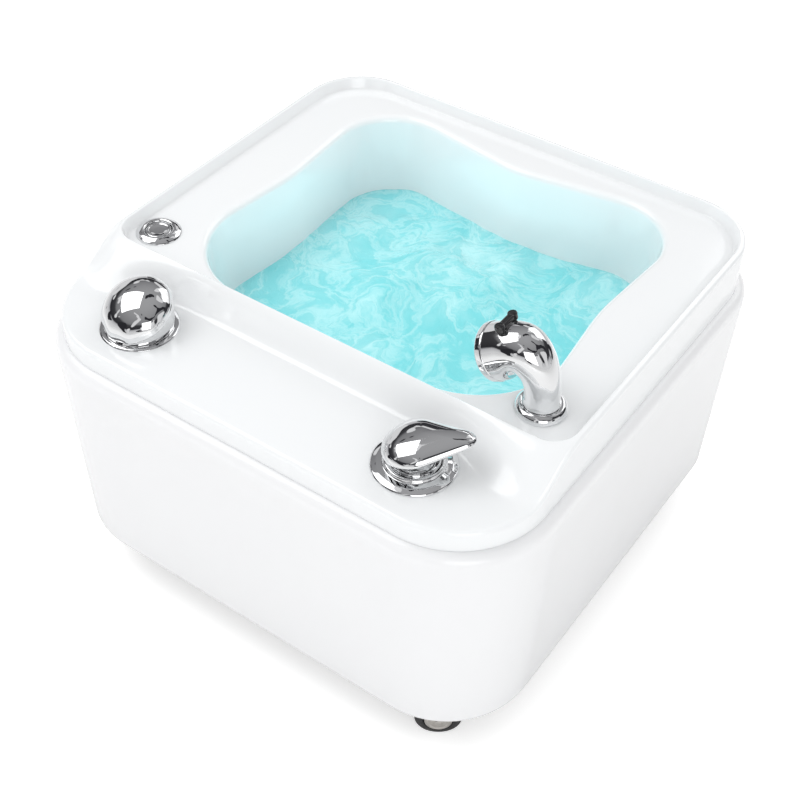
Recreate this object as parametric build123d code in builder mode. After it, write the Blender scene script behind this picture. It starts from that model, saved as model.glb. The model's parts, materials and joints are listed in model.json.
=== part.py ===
"""Foot spa basin: acrylic tub shell in a moulded skirt on a castor frame, with its fittings."""
from build123d import *
import math
import os

os.makedirs("parts", exist_ok=True)

# ---------------------------------------------------------------- driving dimensions (mm)
rim_width = 560.0
rim_depth = 555.0
front_corner_radius = 97.0
back_corner_radius = 74.0
castor_height = 64.0
skirt_ground_gap = 55.0
skirt_height = 260.0
deck_rise = 24.0
rim_rise = 33.0
tray_drop = 13.0
basin_depth = 208.0
shell_wall = 4.5
skirt_wall = 4.0
touch_gap = 0.3
bore_gap = 0.25
running_gap = 0.05

# heights above the floor
skirt_bottom_z = skirt_ground_gap
seam_z = skirt_bottom_z + skirt_height
deck_z = seam_z + deck_rise
rim_z = deck_z + rim_rise
tray_z = rim_z - tray_drop
basin_floor_z = tray_z - basin_depth
basin_under_z = basin_floor_z - shell_wall

# tub rim: rounded bead round the sunken tray, with a ramp down to the front deck
bead_width = 11.2
bead_round = 5.0
front_bead_y = 128.5 - rim_depth / 2
ramp_run = 20.0
tray_front_radius = 28.0

# basin opening: lobed outline, its right half mirrored, with drafted walls
basin_half_width = 209.0
basin_front_y = front_bead_y + 15.0
basin_back_y = rim_depth / 2 - 28.0
basin_mid_y = (basin_front_y + basin_back_y) / 2
basin_waist_in = 13.0
basin_lobe_out = 8.0
basin_back_dip = 34.0
basin_front_radius = 95.0
basin_back_radius = 70.0
basin_waist_radius = 260.0
basin_dip_radius = 130.0
basin_draft = 4.1
basin_lip_round = 8.0
basin_floor_round = 26.0

# skirt: widest at a rounded shoulder under the seam, tapering in to the bottom
skirt_shoulder_drop = 17.0
skirt_shoulder_out = 10.8
skirt_bottom_out = 3.0
skirt_shoulder_round = 12.5
skirt_ledge_in = 22.0

# steel base frame of angle section
frame_half_width = 238.0
frame_half_depth = 238.0
angle_leg = 25.0
angle_wall = 3.0
post_size = 20.0
post_x = 90.0
post_y = 60.0
pad_thickness = 4.0
pump_member_y = -170.0

# castors
castor_x = 222.0
castor_y = 224.0
wheel_radius = 25.0
wheel_width = 14.0
wheel_gap = 11.0
castor_trail = 13.0
castor_face_angle = 34.0
castor_stem_radius = 5.0
castor_axle_radius = 4.0
castor_hood_gap = 1.0
castor_cap_radius = 14.6
castor_recess = 3.0

# deck and tray fittings
mixer_x = 160.0
mixer_y = -214.0
diverter_x = -172.0
diverter_y = -218.0
valve_shank_radius = 16.0
valve_body_radius = 24.0
valve_body_bottom = 262.0
valve_body_top = 300.0
escutcheon_radius = 41.0
escutcheon_height = 6.0
mixer_neck_radius = 18.5
mixer_neck_height = 11.0
lever_angle = 26.0
lever_tilt = 15.0
lever_heel_radius = 31.0
lever_tip_radius = 11.0
lever_reach = 46.0
lever_lift = 24.0
lever_thickness = 16.0
lever_round = 8.0
lever_bore_radius = 21.5
collar_radius = 15.0
collar_height = 8.5
post_width = 10.0
post_depth = 7.0
trunnion_radius = 4.0
trunnion_length = 30.0
knob_radius = 39.0
knob_tilt = 25.0
knob_centre_lift = 20.0
knob_dome_height = 26.0
knob_high_side = 78.0

air_x = -243.0
air_y = -109.5
air_bezel_radius = 24.4
air_body_radius = 17.0
air_plunger_radius = 14.1

spray_x = 224.0
spray_y = -102.0
spray_ring_radius = 25.6
spray_neck_radius = 18.3
spray_guide_wall = 2.0
spray_guide_length = 45.0
spray_guide_gap = 1.0
spray_shank_radius = 9.0
spray_face_radius = 28.5
spray_face_thickness = 8.0
spray_face_fall = 33.0

# wall fittings of the basin
fitting_flange_radius = 22.0
fitting_shank_radius = 14.0
fitting_shank_length = 30.0
fitting_boss_depth = 6.0
fitting_flange = 3.0
fitting_nut = 8.0
jet_z = 215.0
jet_side_y = -45.0
jet_back_x = 100.0
jet_back_in = 13.0
light_x = -40.0
suction_x = 100.0
suction_z = 185.0

drain_y = 50.0
drain_shank_radius = 22.0
drain_bore_radius = 18.0
drain_flange_radius = 36.0
drain_bottom_z = 136.0
waste_radius = 20.0
waste_wall = 2.0
spigot_step = 1.0
spigot_length = 28.0
waste_z = 112.0

# pump
pump_y = -196.0
pump_z = 125.0
motor_radius = 42.0
motor_length = 120.0
volute_radius = 48.0
volute_length = 40.0
volute_x = 5.0
pump_port_length = 15.0
pump_shaft_radius = 5.0

# rear service plate and its connections
service_x = 0.0
service_width = 236.0
service_top_z = 150.0
service_plate_thickness = 2.0
service_opening_margin = 6.0
connection_z = 118.0
inlet_thread_radius = 10.478
inlet_neck_radius = 12.0
inlet_length = 25.0
inlet_spacing = 35.0
inlet_x = 70.0
gland_x = -95.0

# ---------------------------------------------------------------- shared shapes
up = (0, 0, 1)


def save(builder, name):
    """Label a finished piece and write it as one STEP file."""
    builder.part.label = name
    export_step(builder.part, f"parts/{name}.step")


def plan_outline(height, grow):
    """Plan outline of the rim at a height, grown outward."""
    with BuildSketch(Plane.XY.offset(height)) as outline:
        Rectangle(rim_width + 2 * grow, rim_depth + 2 * grow)
        fillet(outline.vertices().group_by(Axis.Y)[0], front_corner_radius + grow)
        fillet(outline.vertices().group_by(Axis.Y)[-1], back_corner_radius + grow)
    return outline.sketch


def lobed_outline(height, grow):
    """Outline of the basin at a height: two front and two back lobes, grown outward."""
    half = [
        (basin_half_width + basin_lobe_out, basin_front_y),
        (basin_half_width - basin_waist_in, basin_mid_y),
        (basin_half_width + 1, basin_back_y),
    ]
    corners = half + [(0, basin_back_y - basin_back_dip)] + [(-x, y) for x, y in reversed(half)]
    with BuildSketch(Plane.XY.offset(height)) as outline:
        with BuildLine():
            Polyline(*corners, close=True)
        make_face()
        for y, radius in (
            (basin_front_y, basin_front_radius),
            (basin_mid_y, basin_waist_radius),
            (basin_back_y, basin_back_radius),
            (basin_back_y - basin_back_dip, basin_dip_radius),
        ):
            fillet(outline.vertices().filter_by_position(Axis.Y, y - 1, y + 1), radius)
        if grow:
            offset(amount=grow)
    return outline.sketch


def turn(origin, direction, points, mode=Mode.ADD):
    """Turn a closed profile of (radius, distance along the axis) points."""
    along = Vector(*direction).normalized()
    side = Vector(up) if abs(along.Z) < 0.9 else Vector(1, 0, 0)
    across = along.cross(side).normalized()
    with BuildSketch(Plane(origin=origin, x_dir=across, z_dir=across.cross(along))) as profile:
        with BuildLine():
            Polyline(*points, close=True)
        make_face()
    revolve(profile.sketch, axis=Axis(origin, direction), mode=mode)


def tube(radius, bore, bottom, top):
    """Profile of a plain tube for turn()."""
    return [(bore, bottom), (radius, bottom), (radius, top), (bore, top)]


def rod(radius, bottom, top):
    """Profile of a plain rod for turn()."""
    return [(0, bottom), (radius, bottom), (radius, top), (0, top)]


def hose(points, radius, bore, bends):
    """Round hose along straight runs joined by tangent arcs."""
    with BuildLine() as route:
        FilletPolyline(*points, radius=bends)
    with BuildSketch(Plane(origin=route.line @ 0, z_dir=route.line % 0)) as section:
        Circle(radius)
        if bore > 0:
            Circle(bore, mode=Mode.SUBTRACT)
    sweep(section.sketch, path=route.line)


def bend_radii(points):
    """Largest comfortable arc at each inner point of a route."""
    radii = []
    for before, corner, after in zip(points, points[1:], points[2:]):
        run_in = Vector(*corner) - Vector(*before)
        run_out = Vector(*after) - Vector(*corner)
        half_turn = math.radians(run_in.get_angle(run_out) / 2)
        radii.append(0.45 * min(run_in.length, run_out.length) / math.tan(half_turn))
    return radii


# ---------------------------------------------------------------- tub shell
def wall_in(height):
    """How far the drafted basin wall has come in at a height below the tray."""
    return (tray_z - height) * math.tan(math.radians(basin_draft))


spray_guide_bore = spray_neck_radius + spray_guide_gap
spray_guide_radius = spray_guide_bore + spray_guide_wall
side_flat = basin_half_width - wall_in(jet_z) - 1.5
back_flat = basin_back_y - jet_back_in - wall_in(jet_z)
jets = [
    ((side_flat, jet_side_y, jet_z), (1, 0, 0)),
    ((-side_flat, jet_side_y, jet_z), (-1, 0, 0)),
    ((jet_back_x, back_flat, jet_z), (0, 1, 0)),
    ((-jet_back_x, back_flat, jet_z), (0, 1, 0)),
]
light_place = ((light_x, basin_front_y + wall_in(jet_z) - 0.5, jet_z), (0, -1, 0))
suction_place = ((suction_x, basin_front_y + wall_in(suction_z) - 0.5, suction_z), (0, -1, 0))
wall_fittings = jets + [light_place, suction_place]

under_deck_z = deck_z - shell_wall
ramp_foot_y = front_bead_y - ramp_run
bead_crown_y = front_bead_y - bead_width / 2
tray_back_y = rim_depth / 2 - bead_width
tray_front_y = front_bead_y + bead_width / 2
tray_middle_y = (tray_back_y + tray_front_y) / 2

with BuildPart() as tub_top:
    extrude(plan_outline(seam_z, 0), amount=rim_z - seam_z)
    fillet(tub_top.faces().sort_by(Axis.Z)[-1].edges(), bead_round)
    # the front deck: everything above it and ahead of the ramp goes away
    with BuildSketch(Plane.YZ.offset(-rim_width)) as deck_space:
        with BuildLine():
            Polyline(
                (-rim_depth, deck_z),
                (ramp_foot_y, deck_z),
                (bead_crown_y, rim_z + 2),
                (-rim_depth, rim_z + 2),
                close=True,
            )
        make_face()
    extrude(amount=2 * rim_width, mode=Mode.SUBTRACT)
    fillet(
        tub_top.edges().filter_by(Axis.X).group_by(SortBy.LENGTH)[-1].sort_by(Axis.Z)[-1],
        bead_round,
    )
    # the sunken tray inside the bead
    with BuildSketch(Plane.XY.offset(tray_z)) as tray:
        with Locations((0, tray_middle_y)):
            Rectangle(rim_width - 2 * bead_width, tray_back_y - tray_front_y)
        fillet(tray.vertices().group_by(Axis.Y)[0], tray_front_radius)
        fillet(tray.vertices().group_by(Axis.Y)[-1], back_corner_radius - bead_width)
    extrude(amount=tray_drop, mode=Mode.SUBTRACT)
    # hollow underside: below the deck, and higher below the tray
    extrude(plan_outline(seam_z, -shell_wall), amount=under_deck_z - seam_z, mode=Mode.SUBTRACT)
    with BuildSketch(Plane.XY.offset(seam_z)) as under_tray:
        with Locations((0, tray_middle_y)):
            Rectangle(rim_width - 2 * shell_wall, tray_back_y - tray_front_y + bead_width)
        fillet(under_tray.vertices().group_by(Axis.Y)[0], tray_front_radius)
        fillet(under_tray.vertices().group_by(Axis.Y)[-1], back_corner_radius - shell_wall)
    extrude(amount=tray_z - shell_wall - seam_z, mode=Mode.SUBTRACT)

with BuildPart() as basin_body:
    extrude(
        lobed_outline(tray_z - shell_wall, shell_wall),
        amount=basin_under_z - tray_z + shell_wall,
        taper=basin_draft,
    )
    fillet(basin_body.faces().sort_by(Axis.Z)[0].edges(), basin_floor_round + shell_wall)
    # flat bosses for the fittings in its wall
    for place, outward in wall_fittings:
        turn(place, outward, rod(fitting_flange_radius + 3, -6, fitting_boss_depth))

with BuildPart() as basin_space:
    extrude(lobed_outline(tray_z, 0), amount=-basin_depth, taper=basin_draft)
    fillet(basin_space.faces().sort_by(Axis.Z)[0].edges(), basin_floor_round)

with BuildPart() as tub_shell:
    add(tub_top.part)
    add(basin_body.part)
    add(basin_space.part, mode=Mode.SUBTRACT)
    tray_faces = tub_shell.faces().filter_by(Axis.Z).filter_by_position(
        Axis.Z, tray_z - running_gap, tray_z + running_gap
    )
    fillet(tray_faces[0].inner_wires()[0].edges(), basin_lip_round)
    for place, outward in wall_fittings:
        turn(place, outward, rod(fitting_flange_radius + 1, -25, 0), Mode.SUBTRACT)
        turn(
            place,
            outward,
            rod(fitting_shank_radius + bore_gap, -1, fitting_boss_depth + 2),
            Mode.SUBTRACT,
        )
        turn(
            place,
            outward,
            rod(fitting_flange_radius, fitting_boss_depth, fitting_boss_depth + fitting_nut),
            Mode.SUBTRACT,
        )
    holes = [
        (mixer_x, mixer_y, deck_z, valve_shank_radius),
        (diverter_x, diverter_y, deck_z, valve_shank_radius),
        (air_x, air_y, tray_z, air_body_radius),
        (spray_x, spray_y, tray_z, spray_guide_radius),
        (0, drain_y, basin_floor_z, drain_shank_radius),
    ]
    for x, y, z, radius in holes:
        turn((x, y, z), up, rod(radius + bore_gap, -shell_wall - 1, 2), Mode.SUBTRACT)
save(tub_shell, "tub_shell")

# ---------------------------------------------------------------- skirt shell
shoulder_z = seam_z - skirt_shoulder_drop
service_mid_z = (skirt_bottom_z + service_top_z + service_opening_margin) / 2

with BuildPart() as skirt_shell:
    # outside: widening up to the shoulder, then rounded over to the seam
    loft(
        [
            plan_outline(skirt_bottom_z, skirt_bottom_out).face(),
            plan_outline(shoulder_z, skirt_shoulder_out).face(),
        ]
    )
    extrude(plan_outline(shoulder_z, skirt_shoulder_out), amount=skirt_shoulder_drop)
    fillet(skirt_shell.faces().sort_by(Axis.Z)[-1].edges(), skirt_shoulder_round)
    # inside, leaving a ledge that the tub stands on
    loft(
        [
            plan_outline(skirt_bottom_z, skirt_bottom_out - skirt_wall).face(),
            plan_outline(shoulder_z, skirt_shoulder_out - skirt_wall).face(),
        ],
        mode=Mode.SUBTRACT,
    )
    extrude(
        plan_outline(shoulder_z, -skirt_wall),
        amount=skirt_shoulder_drop - skirt_wall,
        mode=Mode.SUBTRACT,
    )
    extrude(
        plan_outline(seam_z - skirt_wall, -skirt_ledge_in),
        amount=skirt_wall,
        mode=Mode.SUBTRACT,
    )
    # rear opening for the connections
    with Locations((service_x, rim_depth / 2, service_mid_z)):
        Box(
            service_width + 2 * service_opening_margin,
            60,
            2 * (service_mid_z - skirt_bottom_z),
            mode=Mode.SUBTRACT,
        )
save(skirt_shell, "skirt_shell")

# ---------------------------------------------------------------- base frame
frame_z = castor_height
floor_of_angle = frame_z + angle_wall
post_top_z = basin_under_z - pad_thickness
castor_places = [(sx * castor_x, sy * castor_y) for sx in (1, -1) for sy in (-1, 1)]
post_places = [(sx * post_x, sy * post_y) for sx in (1, -1) for sy in (-1, 1)]

with BuildPart() as steel_frame:
    with BuildSketch(Plane.XY.offset(frame_z)) as ring:
        Rectangle(2 * frame_half_width, 2 * frame_half_depth)
        Rectangle(
            2 * (frame_half_width - angle_leg),
            2 * (frame_half_depth - angle_leg),
            mode=Mode.SUBTRACT,
        )
    extrude(amount=angle_wall)
    with BuildSketch(Plane.XY.offset(frame_z)) as upstand:
        Rectangle(2 * frame_half_width, 2 * frame_half_depth)
        Rectangle(
            2 * (frame_half_width - angle_wall),
            2 * (frame_half_depth - angle_wall),
            mode=Mode.SUBTRACT,
        )
    extrude(amount=angle_leg)
    for member_y in (-post_y, post_y, pump_member_y):
        with Locations((0, member_y, frame_z + angle_wall / 2)):
            Box(2 * (frame_half_width - angle_leg) + 1, angle_leg, angle_wall)
    for x, y in post_places:
        with Locations((x, y, (floor_of_angle + post_top_z) / 2)):
            Box(post_size, post_size, post_top_z - floor_of_angle)
    for x, y in castor_places:
        turn((x, y, frame_z), up, rod(castor_stem_radius + 3, 0, angle_wall + 9))
        turn(
            (x, y, frame_z),
            up,
            rod(castor_stem_radius + running_gap, -1, angle_wall + 10),
            Mode.SUBTRACT,
        )
save(steel_frame, "steel_frame")

with BuildPart() as basin_pads:
    for x, y in post_places:
        with Locations((x, y, post_top_z + pad_thickness / 2)):
            Box(post_size + 10, post_size + 10, pad_thickness)
save(basin_pads, "basin_pads")

# ---------------------------------------------------------------- castors
wheel_axis = (
    math.sin(math.radians(castor_face_angle)),
    -math.cos(math.radians(castor_face_angle)),
    0,
)
trail_way = (-wheel_axis[1], wheel_axis[0], 0)
hub_face = wheel_gap / 2 + wheel_width
stem_top_z = castor_height + angle_wall + 10
tread_chamfer = 5.0
cap_clearance = 0.4
cap_edge = 4.0
cap_dish = 3.6


def castor_parts(x, y, heading, name):
    """One twin-wheel castor: swivelling hood with its stem, two wheels, and their axle."""
    trail = heading * castor_trail
    pivot = (x, y, 0)
    axle = (x - trail * trail_way[0], y - trail * trail_way[1], wheel_radius)
    hood_radius = wheel_radius - 3 * castor_hood_gap
    hood_half_width = wheel_gap / 2 - castor_hood_gap
    with BuildPart() as housing:
        turn(axle, wheel_axis, rod(hood_radius, -hood_half_width, hood_half_width))
        turn(pivot, up, rod(hood_half_width, wheel_radius, castor_height - castor_hood_gap))
        turn(pivot, up, rod(wheel_gap, 2 * wheel_radius + 1, castor_height - castor_hood_gap))
        turn(pivot, up, rod(castor_stem_radius, castor_height - 2, stem_top_z))
        turn(axle, wheel_axis, rod(castor_axle_radius, -wheel_gap, wheel_gap), Mode.SUBTRACT)
    save(housing, f"castor_housing_{name}")
    with BuildPart() as wheels:
        for side in (1, -1):
            inner = side * wheel_gap / 2
            outer = side * hub_face
            profile = [
                (castor_axle_radius, inner),
                (wheel_radius, inner),
                (wheel_radius, outer - side * tread_chamfer),
                (wheel_radius - tread_chamfer, outer - side * castor_hood_gap),
                (castor_cap_radius + cap_clearance, outer),
                (castor_cap_radius + cap_clearance, outer - side * castor_recess),
                (castor_axle_radius, outer - side * castor_recess),
            ]
            turn(axle, wheel_axis, profile)
    save(wheels, f"castor_wheels_{name}")
    with BuildPart() as hub:
        spindle = castor_axle_radius - running_gap
        turn(axle, wheel_axis, rod(spindle, castor_recess - hub_face, hub_face - castor_recess))
        for side in (1, -1):
            cap_in = side * (hub_face - castor_recess)
            cap = [
                (0, cap_in),
                (castor_cap_radius, cap_in),
                (castor_cap_radius, cap_in + side * cap_edge),
                (castor_cap_radius - cap_dish, cap_in + side * 1.5 * cap_edge),
                (0, cap_in + side * 1.75 * cap_edge),
            ]
            turn(axle, wheel_axis, cap)
    save(hub, f"castor_axle_{name}")


castor_names = ("front_right", "back_right", "front_left", "back_left")
castor_headings = (1, 1, -1, -1)
for (x, y), heading, name in zip(castor_places, castor_headings, castor_names):
    castor_parts(x, y, heading, name)

# ---------------------------------------------------------------- drain and waste
drain_point = (0, drain_y, basin_floor_z)
drain_flange_top = 3.0
plug_stem_radius = 4.0

with BuildPart() as drain_body:
    turn(
        drain_point,
        up,
        [
            (drain_bore_radius, drain_bottom_z - basin_floor_z),
            (drain_shank_radius, drain_bottom_z - basin_floor_z),
            (drain_shank_radius, 0),
            (drain_flange_radius, 0),
            (drain_flange_radius - 3, drain_flange_top),
            (drain_bore_radius, drain_flange_top),
        ],
    )
    with Locations((0, drain_y, basin_floor_z - 8)):
        Box(2 * drain_bore_radius + 1, 4, 4)
        Box(4, 2 * drain_bore_radius + 1, 4)
    turn(drain_point, up, rod(plug_stem_radius + 3, -12, -4))
    turn(
        drain_point,
        up,
        rod(plug_stem_radius + running_gap, -13, -3),
        Mode.SUBTRACT,
    )
save(drain_body, "drain_body")

with BuildPart() as drain_nut:
    turn(
        (0, drain_y, basin_under_z),
        up,
        tube(drain_shank_radius + 10, drain_shank_radius + bore_gap, -8, 0),
    )
save(drain_nut, "drain_nut")

with BuildPart() as drain_plug:
    plug_bottom = drain_flange_top + touch_gap
    plug = [
        (0, -14),
        (plug_stem_radius, -14),
        (plug_stem_radius, plug_bottom),
        (drain_bore_radius + 8, plug_bottom),
        (drain_bore_radius + 8, plug_bottom + 2),
        (drain_bore_radius, plug_bottom + 5),
        (0, plug_bottom + 6),
    ]
    turn(drain_point, up, plug)
save(drain_plug, "drain_plug")

pot_radius = waste_radius + 10
pot_bottom = waste_z - waste_radius - waste_wall
plate_face_y = frame_half_depth + service_plate_thickness
waste_end = plate_face_y + spigot_length

with BuildPart() as waste_pipe:
    pot = [
        (0, pot_bottom),
        (pot_radius, pot_bottom),
        (pot_radius, drain_bottom_z),
        (drain_bore_radius, drain_bottom_z),
        (drain_bore_radius, drain_bottom_z - waste_wall),
        (pot_radius - waste_wall, drain_bottom_z - waste_wall),
        (pot_radius - waste_wall, pot_bottom + waste_wall),
        (0, pot_bottom + waste_wall),
    ]
    turn((0, drain_y, 0), up, pot)
    reach = waste_end - drain_y
    pipe_bore = waste_radius - waste_wall
    turn(
        (0, drain_y, waste_z),
        (0, 1, 0),
        tube(waste_radius + spigot_step, pipe_bore, pot_radius - 9, plate_face_y - drain_y),
    )
    turn(
        (0, drain_y, waste_z),
        (0, 1, 0),
        tube(waste_radius, pipe_bore, plate_face_y - drain_y - 1, reach),
    )
    turn((0, drain_y, waste_z), (0, 1, 0), rod(pipe_bore, pot_radius - 10, reach), Mode.SUBTRACT)
    turn((0, drain_y, 0), up, rod(pot_radius - waste_wall, pot_bottom + waste_wall,
                                          drain_bottom_z - waste_wall), Mode.SUBTRACT)
save(waste_pipe, "waste_pipe")

# ---------------------------------------------------------------- rear service plate
inlet_places = [(inlet_x + turn_no * inlet_spacing, frame_half_depth, connection_z)
                for turn_no in range(2)]
gland_place = (gland_x, frame_half_depth, connection_z)
gland_radius = 8.0

with BuildPart() as service_plate:
    plate_bottom = frame_z + 2
    with Locations(
        (
            service_x,
            frame_half_depth + service_plate_thickness / 2,
            (plate_bottom + service_top_z) / 2,
        )
    ):
        Box(service_width, service_plate_thickness, service_top_z - plate_bottom)
    for place in inlet_places:
        turn(place, (0, 1, 0), rod(inlet_neck_radius + bore_gap, -1, 4), Mode.SUBTRACT)
    turn(gland_place, (0, 1, 0), rod(gland_radius + bore_gap, -1, 4), Mode.SUBTRACT)
    turn(
        (0, frame_half_depth, waste_z),
        (0, 1, 0),
        rod(waste_radius + spigot_step + bore_gap, -1, 4),
        Mode.SUBTRACT,
    )
save(service_plate, "service_plate")

with BuildPart() as supply_inlets:
    inlet = [
        (7, -30),
        (14, -30),
        (14, 0),
        (inlet_neck_radius, 0),
        (inlet_neck_radius, service_plate_thickness),
        (inlet_thread_radius, service_plate_thickness),
        (inlet_thread_radius, service_plate_thickness + inlet_length),
        (7, service_plate_thickness + inlet_length),
    ]
    for place in inlet_places:
        turn(place, (0, 1, 0), inlet)
save(supply_inlets, "supply_inlets")

with BuildPart() as mains_gland:
    gland = [
        (3.5, -10),
        (11, -10),
        (11, 0),
        (gland_radius, 0),
        (gland_radius, 12),
        (gland_radius - 2, 18),
        (3.5, 18),
    ]
    turn(gland_place, (0, 1, 0), gland)
save(mains_gland, "mains_gland")

# ---------------------------------------------------------------- basin wall fittings
flange_shank = [
    (fitting_flange_radius - 2, -fitting_flange),
    (fitting_flange_radius, -1),
    (fitting_flange_radius, 0),
    (fitting_shank_radius, 0),
    (fitting_shank_radius, fitting_shank_length),
]
nut_profile = tube(
    fitting_flange_radius - 1,
    fitting_shank_radius + bore_gap,
    fitting_boss_depth,
    fitting_boss_depth + fitting_nut,
)

with BuildPart() as jet_bodies:
    for place, outward in jets:
        turn(place, outward, [(6, -fitting_flange)] + flange_shank
             + [(9, fitting_shank_length), (9, 6), (6, 3)])
save(jet_bodies, "jet_bodies")

with BuildPart() as jet_nuts:
    for place, outward in jets:
        turn(place, outward, nut_profile)
save(jet_nuts, "jet_nuts")

with BuildPart() as wall_nuts:
    for place, outward in (light_place, suction_place):
        turn(place, outward, nut_profile)
save(wall_nuts, "wall_nuts")

with BuildPart() as suction_fitting:
    place, outward = suction_place
    turn(place, outward, [(0, -fitting_flange)] + flange_shank
         + [(12, fitting_shank_length), (12, 2), (0, 2)])
    with BuildSketch(Plane(origin=place, x_dir=(1, 0, 0), z_dir=outward).offset(-10)) as slots:
        with GridLocations(0, 7, 1, 3):
            SlotOverall(20, 3.5)
    extrude(slots.sketch, amount=20, mode=Mode.SUBTRACT)
save(suction_fitting, "suction_fitting")

lens_radius = 18.0
lens_seat = 12.0
with BuildPart() as light_housing:
    place, outward = light_place
    turn(place, outward, [(lens_seat, -1.5), (fitting_flange_radius, -1.5)] + flange_shank[2:]
         + [(0, fitting_shank_length), (0, 6), (lens_seat, 6)])
save(light_housing, "light_housing")

with BuildPart() as light_lens:
    lens = [(0, -6), (lens_radius - 7, -5.5), (lens_radius, -3.5), (lens_radius, -1.5),
            (lens_seat - running_gap, -1.5), (lens_seat - running_gap, 6), (0, 6)]
    turn(place, outward, lens)
save(light_lens, "light_lens")

# ---------------------------------------------------------------- pump
volute_end = volute_x + volute_length
discharge_x = volute_x + volute_length / 2
discharge_top = pump_z + volute_radius + 17
pump_axis_point = (0, pump_y, pump_z)
along_x = (1, 0, 0)

with BuildPart() as pump_motor:
    turn(pump_axis_point, along_x, rod(motor_radius, volute_x - motor_length, volute_x))
    with Locations((volute_x - motor_length / 2, pump_y, pump_z + motor_radius + 5)):
        Box(40, 34, 20)
    turn(
        pump_axis_point,
        along_x,
        rod(pump_shaft_radius + running_gap, volute_x - 30, volute_x + 1),
        Mode.SUBTRACT,
    )
save(pump_motor, "pump_motor")

with BuildPart() as pump_volute:
    turn(pump_axis_point, along_x, rod(volute_radius, volute_x, volute_end))
    turn(pump_axis_point, along_x, rod(14, volute_end - 1, volute_end + pump_port_length))
    turn((discharge_x, pump_y, pump_z), up, rod(11, 30, discharge_top - pump_z))
    turn(pump_axis_point, along_x, rod(volute_radius - 8, volute_x + 6, volute_end - 6), Mode.SUBTRACT)
    turn(pump_axis_point, along_x, rod(12, volute_end - 8, volute_end + 20), Mode.SUBTRACT)
    turn(pump_axis_point, along_x, rod(pump_shaft_radius + 1, volute_x - 1, volute_x + 8),
         Mode.SUBTRACT)
    turn((discharge_x, pump_y, pump_z), up, rod(7, 30, 90), Mode.SUBTRACT)
save(pump_volute, "pump_volute")

with BuildPart() as pump_impeller:
    turn(pump_axis_point, along_x, rod(pump_shaft_radius, volute_x - 28, volute_x + 12))
    turn(pump_axis_point, along_x, rod(9, volute_x + 8, volute_x + 26))
    turn(pump_axis_point, along_x, rod(volute_radius - 14, volute_x + 10, volute_x + 13))
    with Locations(Plane(origin=(volute_x + 17, pump_y, pump_z), z_dir=along_x)):
        with PolarLocations(20, 6):
            Box(26, 3, 10)
save(pump_impeller, "pump_impeller")

with BuildPart() as pump_base:
    base_length = motor_length - 30
    base_x = volute_x - motor_length / 2
    with Locations((base_x, pump_y, floor_of_angle + 2)):
        Box(base_length, 72, 4)
    with Locations(
        (base_x - 30, pump_y, (floor_of_angle + pump_z) / 2 - 8),
        (base_x + 30, pump_y, (floor_of_angle + pump_z) / 2 - 8),
    ):
        Box(10, 60, pump_z - floor_of_angle - 16)
    turn(pump_axis_point, along_x, rod(motor_radius, -300, volute_x), Mode.SUBTRACT)
save(pump_base, "pump_base")

pipe_radius = 9.0
saddle_bite = 1.0
pipe_x = side_flat + fitting_shank_length + pipe_radius - saddle_bite
pipe_back_y = back_flat + fitting_shank_length + pipe_radius - saddle_bite

with BuildPart() as pressure_pipe:
    hose(
        [
            (discharge_x, pump_y, discharge_top),
            (discharge_x, pump_y, jet_z),
            (pipe_x, pump_y, jet_z),
            (pipe_x, pipe_back_y, jet_z),
            (-pipe_x, pipe_back_y, jet_z),
            (-pipe_x, jet_side_y - 30, jet_z),
        ],
        pipe_radius,
        0,
        [12, 40, 60, 60],
    )
save(pressure_pipe, "pressure_pipe")

with BuildPart() as suction_pipe:
    suction_end_y = suction_place[0][1] - fitting_shank_length
    hose(
        [
            (volute_end + pump_port_length, pump_y, pump_z),
            (suction_x, pump_y, pump_z),
            (suction_x, pump_y, suction_z),
            (suction_x, suction_end_y, suction_z),
        ],
        14,
        12,
        [20, 20],
    )
save(suction_pipe, "suction_pipe")

# ---------------------------------------------------------------- control box
control_x = -168.0
control_y = -200.0
control_width = 84.0
control_depth = 66.0
control_top = 150.0
control_wall = 2.5
control_lid = 3.0

with BuildPart() as control_box:
    with BuildSketch(Plane.XY.offset(floor_of_angle)) as box_plan:
        with Locations((control_x, control_y)):
            RectangleRounded(control_width, control_depth, 6)
    extrude(amount=control_top - control_lid - floor_of_angle)
    with BuildSketch(Plane.XY.offset(floor_of_angle + control_wall)) as box_room:
        with Locations((control_x, control_y)):
            RectangleRounded(control_width - 2 * control_wall, control_depth - 2 * control_wall, 4)
    extrude(amount=control_top, mode=Mode.SUBTRACT)
save(control_box, "control_box")

with BuildPart() as control_box_lid:
    with BuildSketch(Plane.XY.offset(control_top - control_lid)) as lid_plan:
        with Locations((control_x, control_y)):
            RectangleRounded(control_width, control_depth, 6)
    extrude(amount=control_lid)
    turn((control_x, control_y, control_top), up, rod(3, -1, 8))
save(control_box_lid, "control_box_lid")

# ---------------------------------------------------------------- air button
air_point = (air_x, air_y, tray_z)
air_cup_depth = 38.0
plunger_depth = 16.0

with BuildPart() as air_button_body:
    cup_bore = air_plunger_radius + 2 * running_gap
    turn(air_point, up, [(0, -air_cup_depth), (air_body_radius, -air_cup_depth),
                         (air_body_radius, 0), (cup_bore, 0), (cup_bore, 3 - air_cup_depth),
                         (0, 3 - air_cup_depth)])
    turn(air_point, up, rod(2.5, -air_cup_depth - 8, -air_cup_depth + 1))
save(air_button_body, "air_button_body")

with BuildPart() as air_button_bezel:
    bezel_bore = air_plunger_radius + touch_gap
    turn(air_point, up, [(bezel_bore, 0), (air_bezel_radius, 0), (air_bezel_radius, 1.5),
                         (air_bezel_radius - 3, 4.5), (air_body_radius, 5.5), (bezel_bore, 4)])
save(air_button_bezel, "air_button_bezel")

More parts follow.
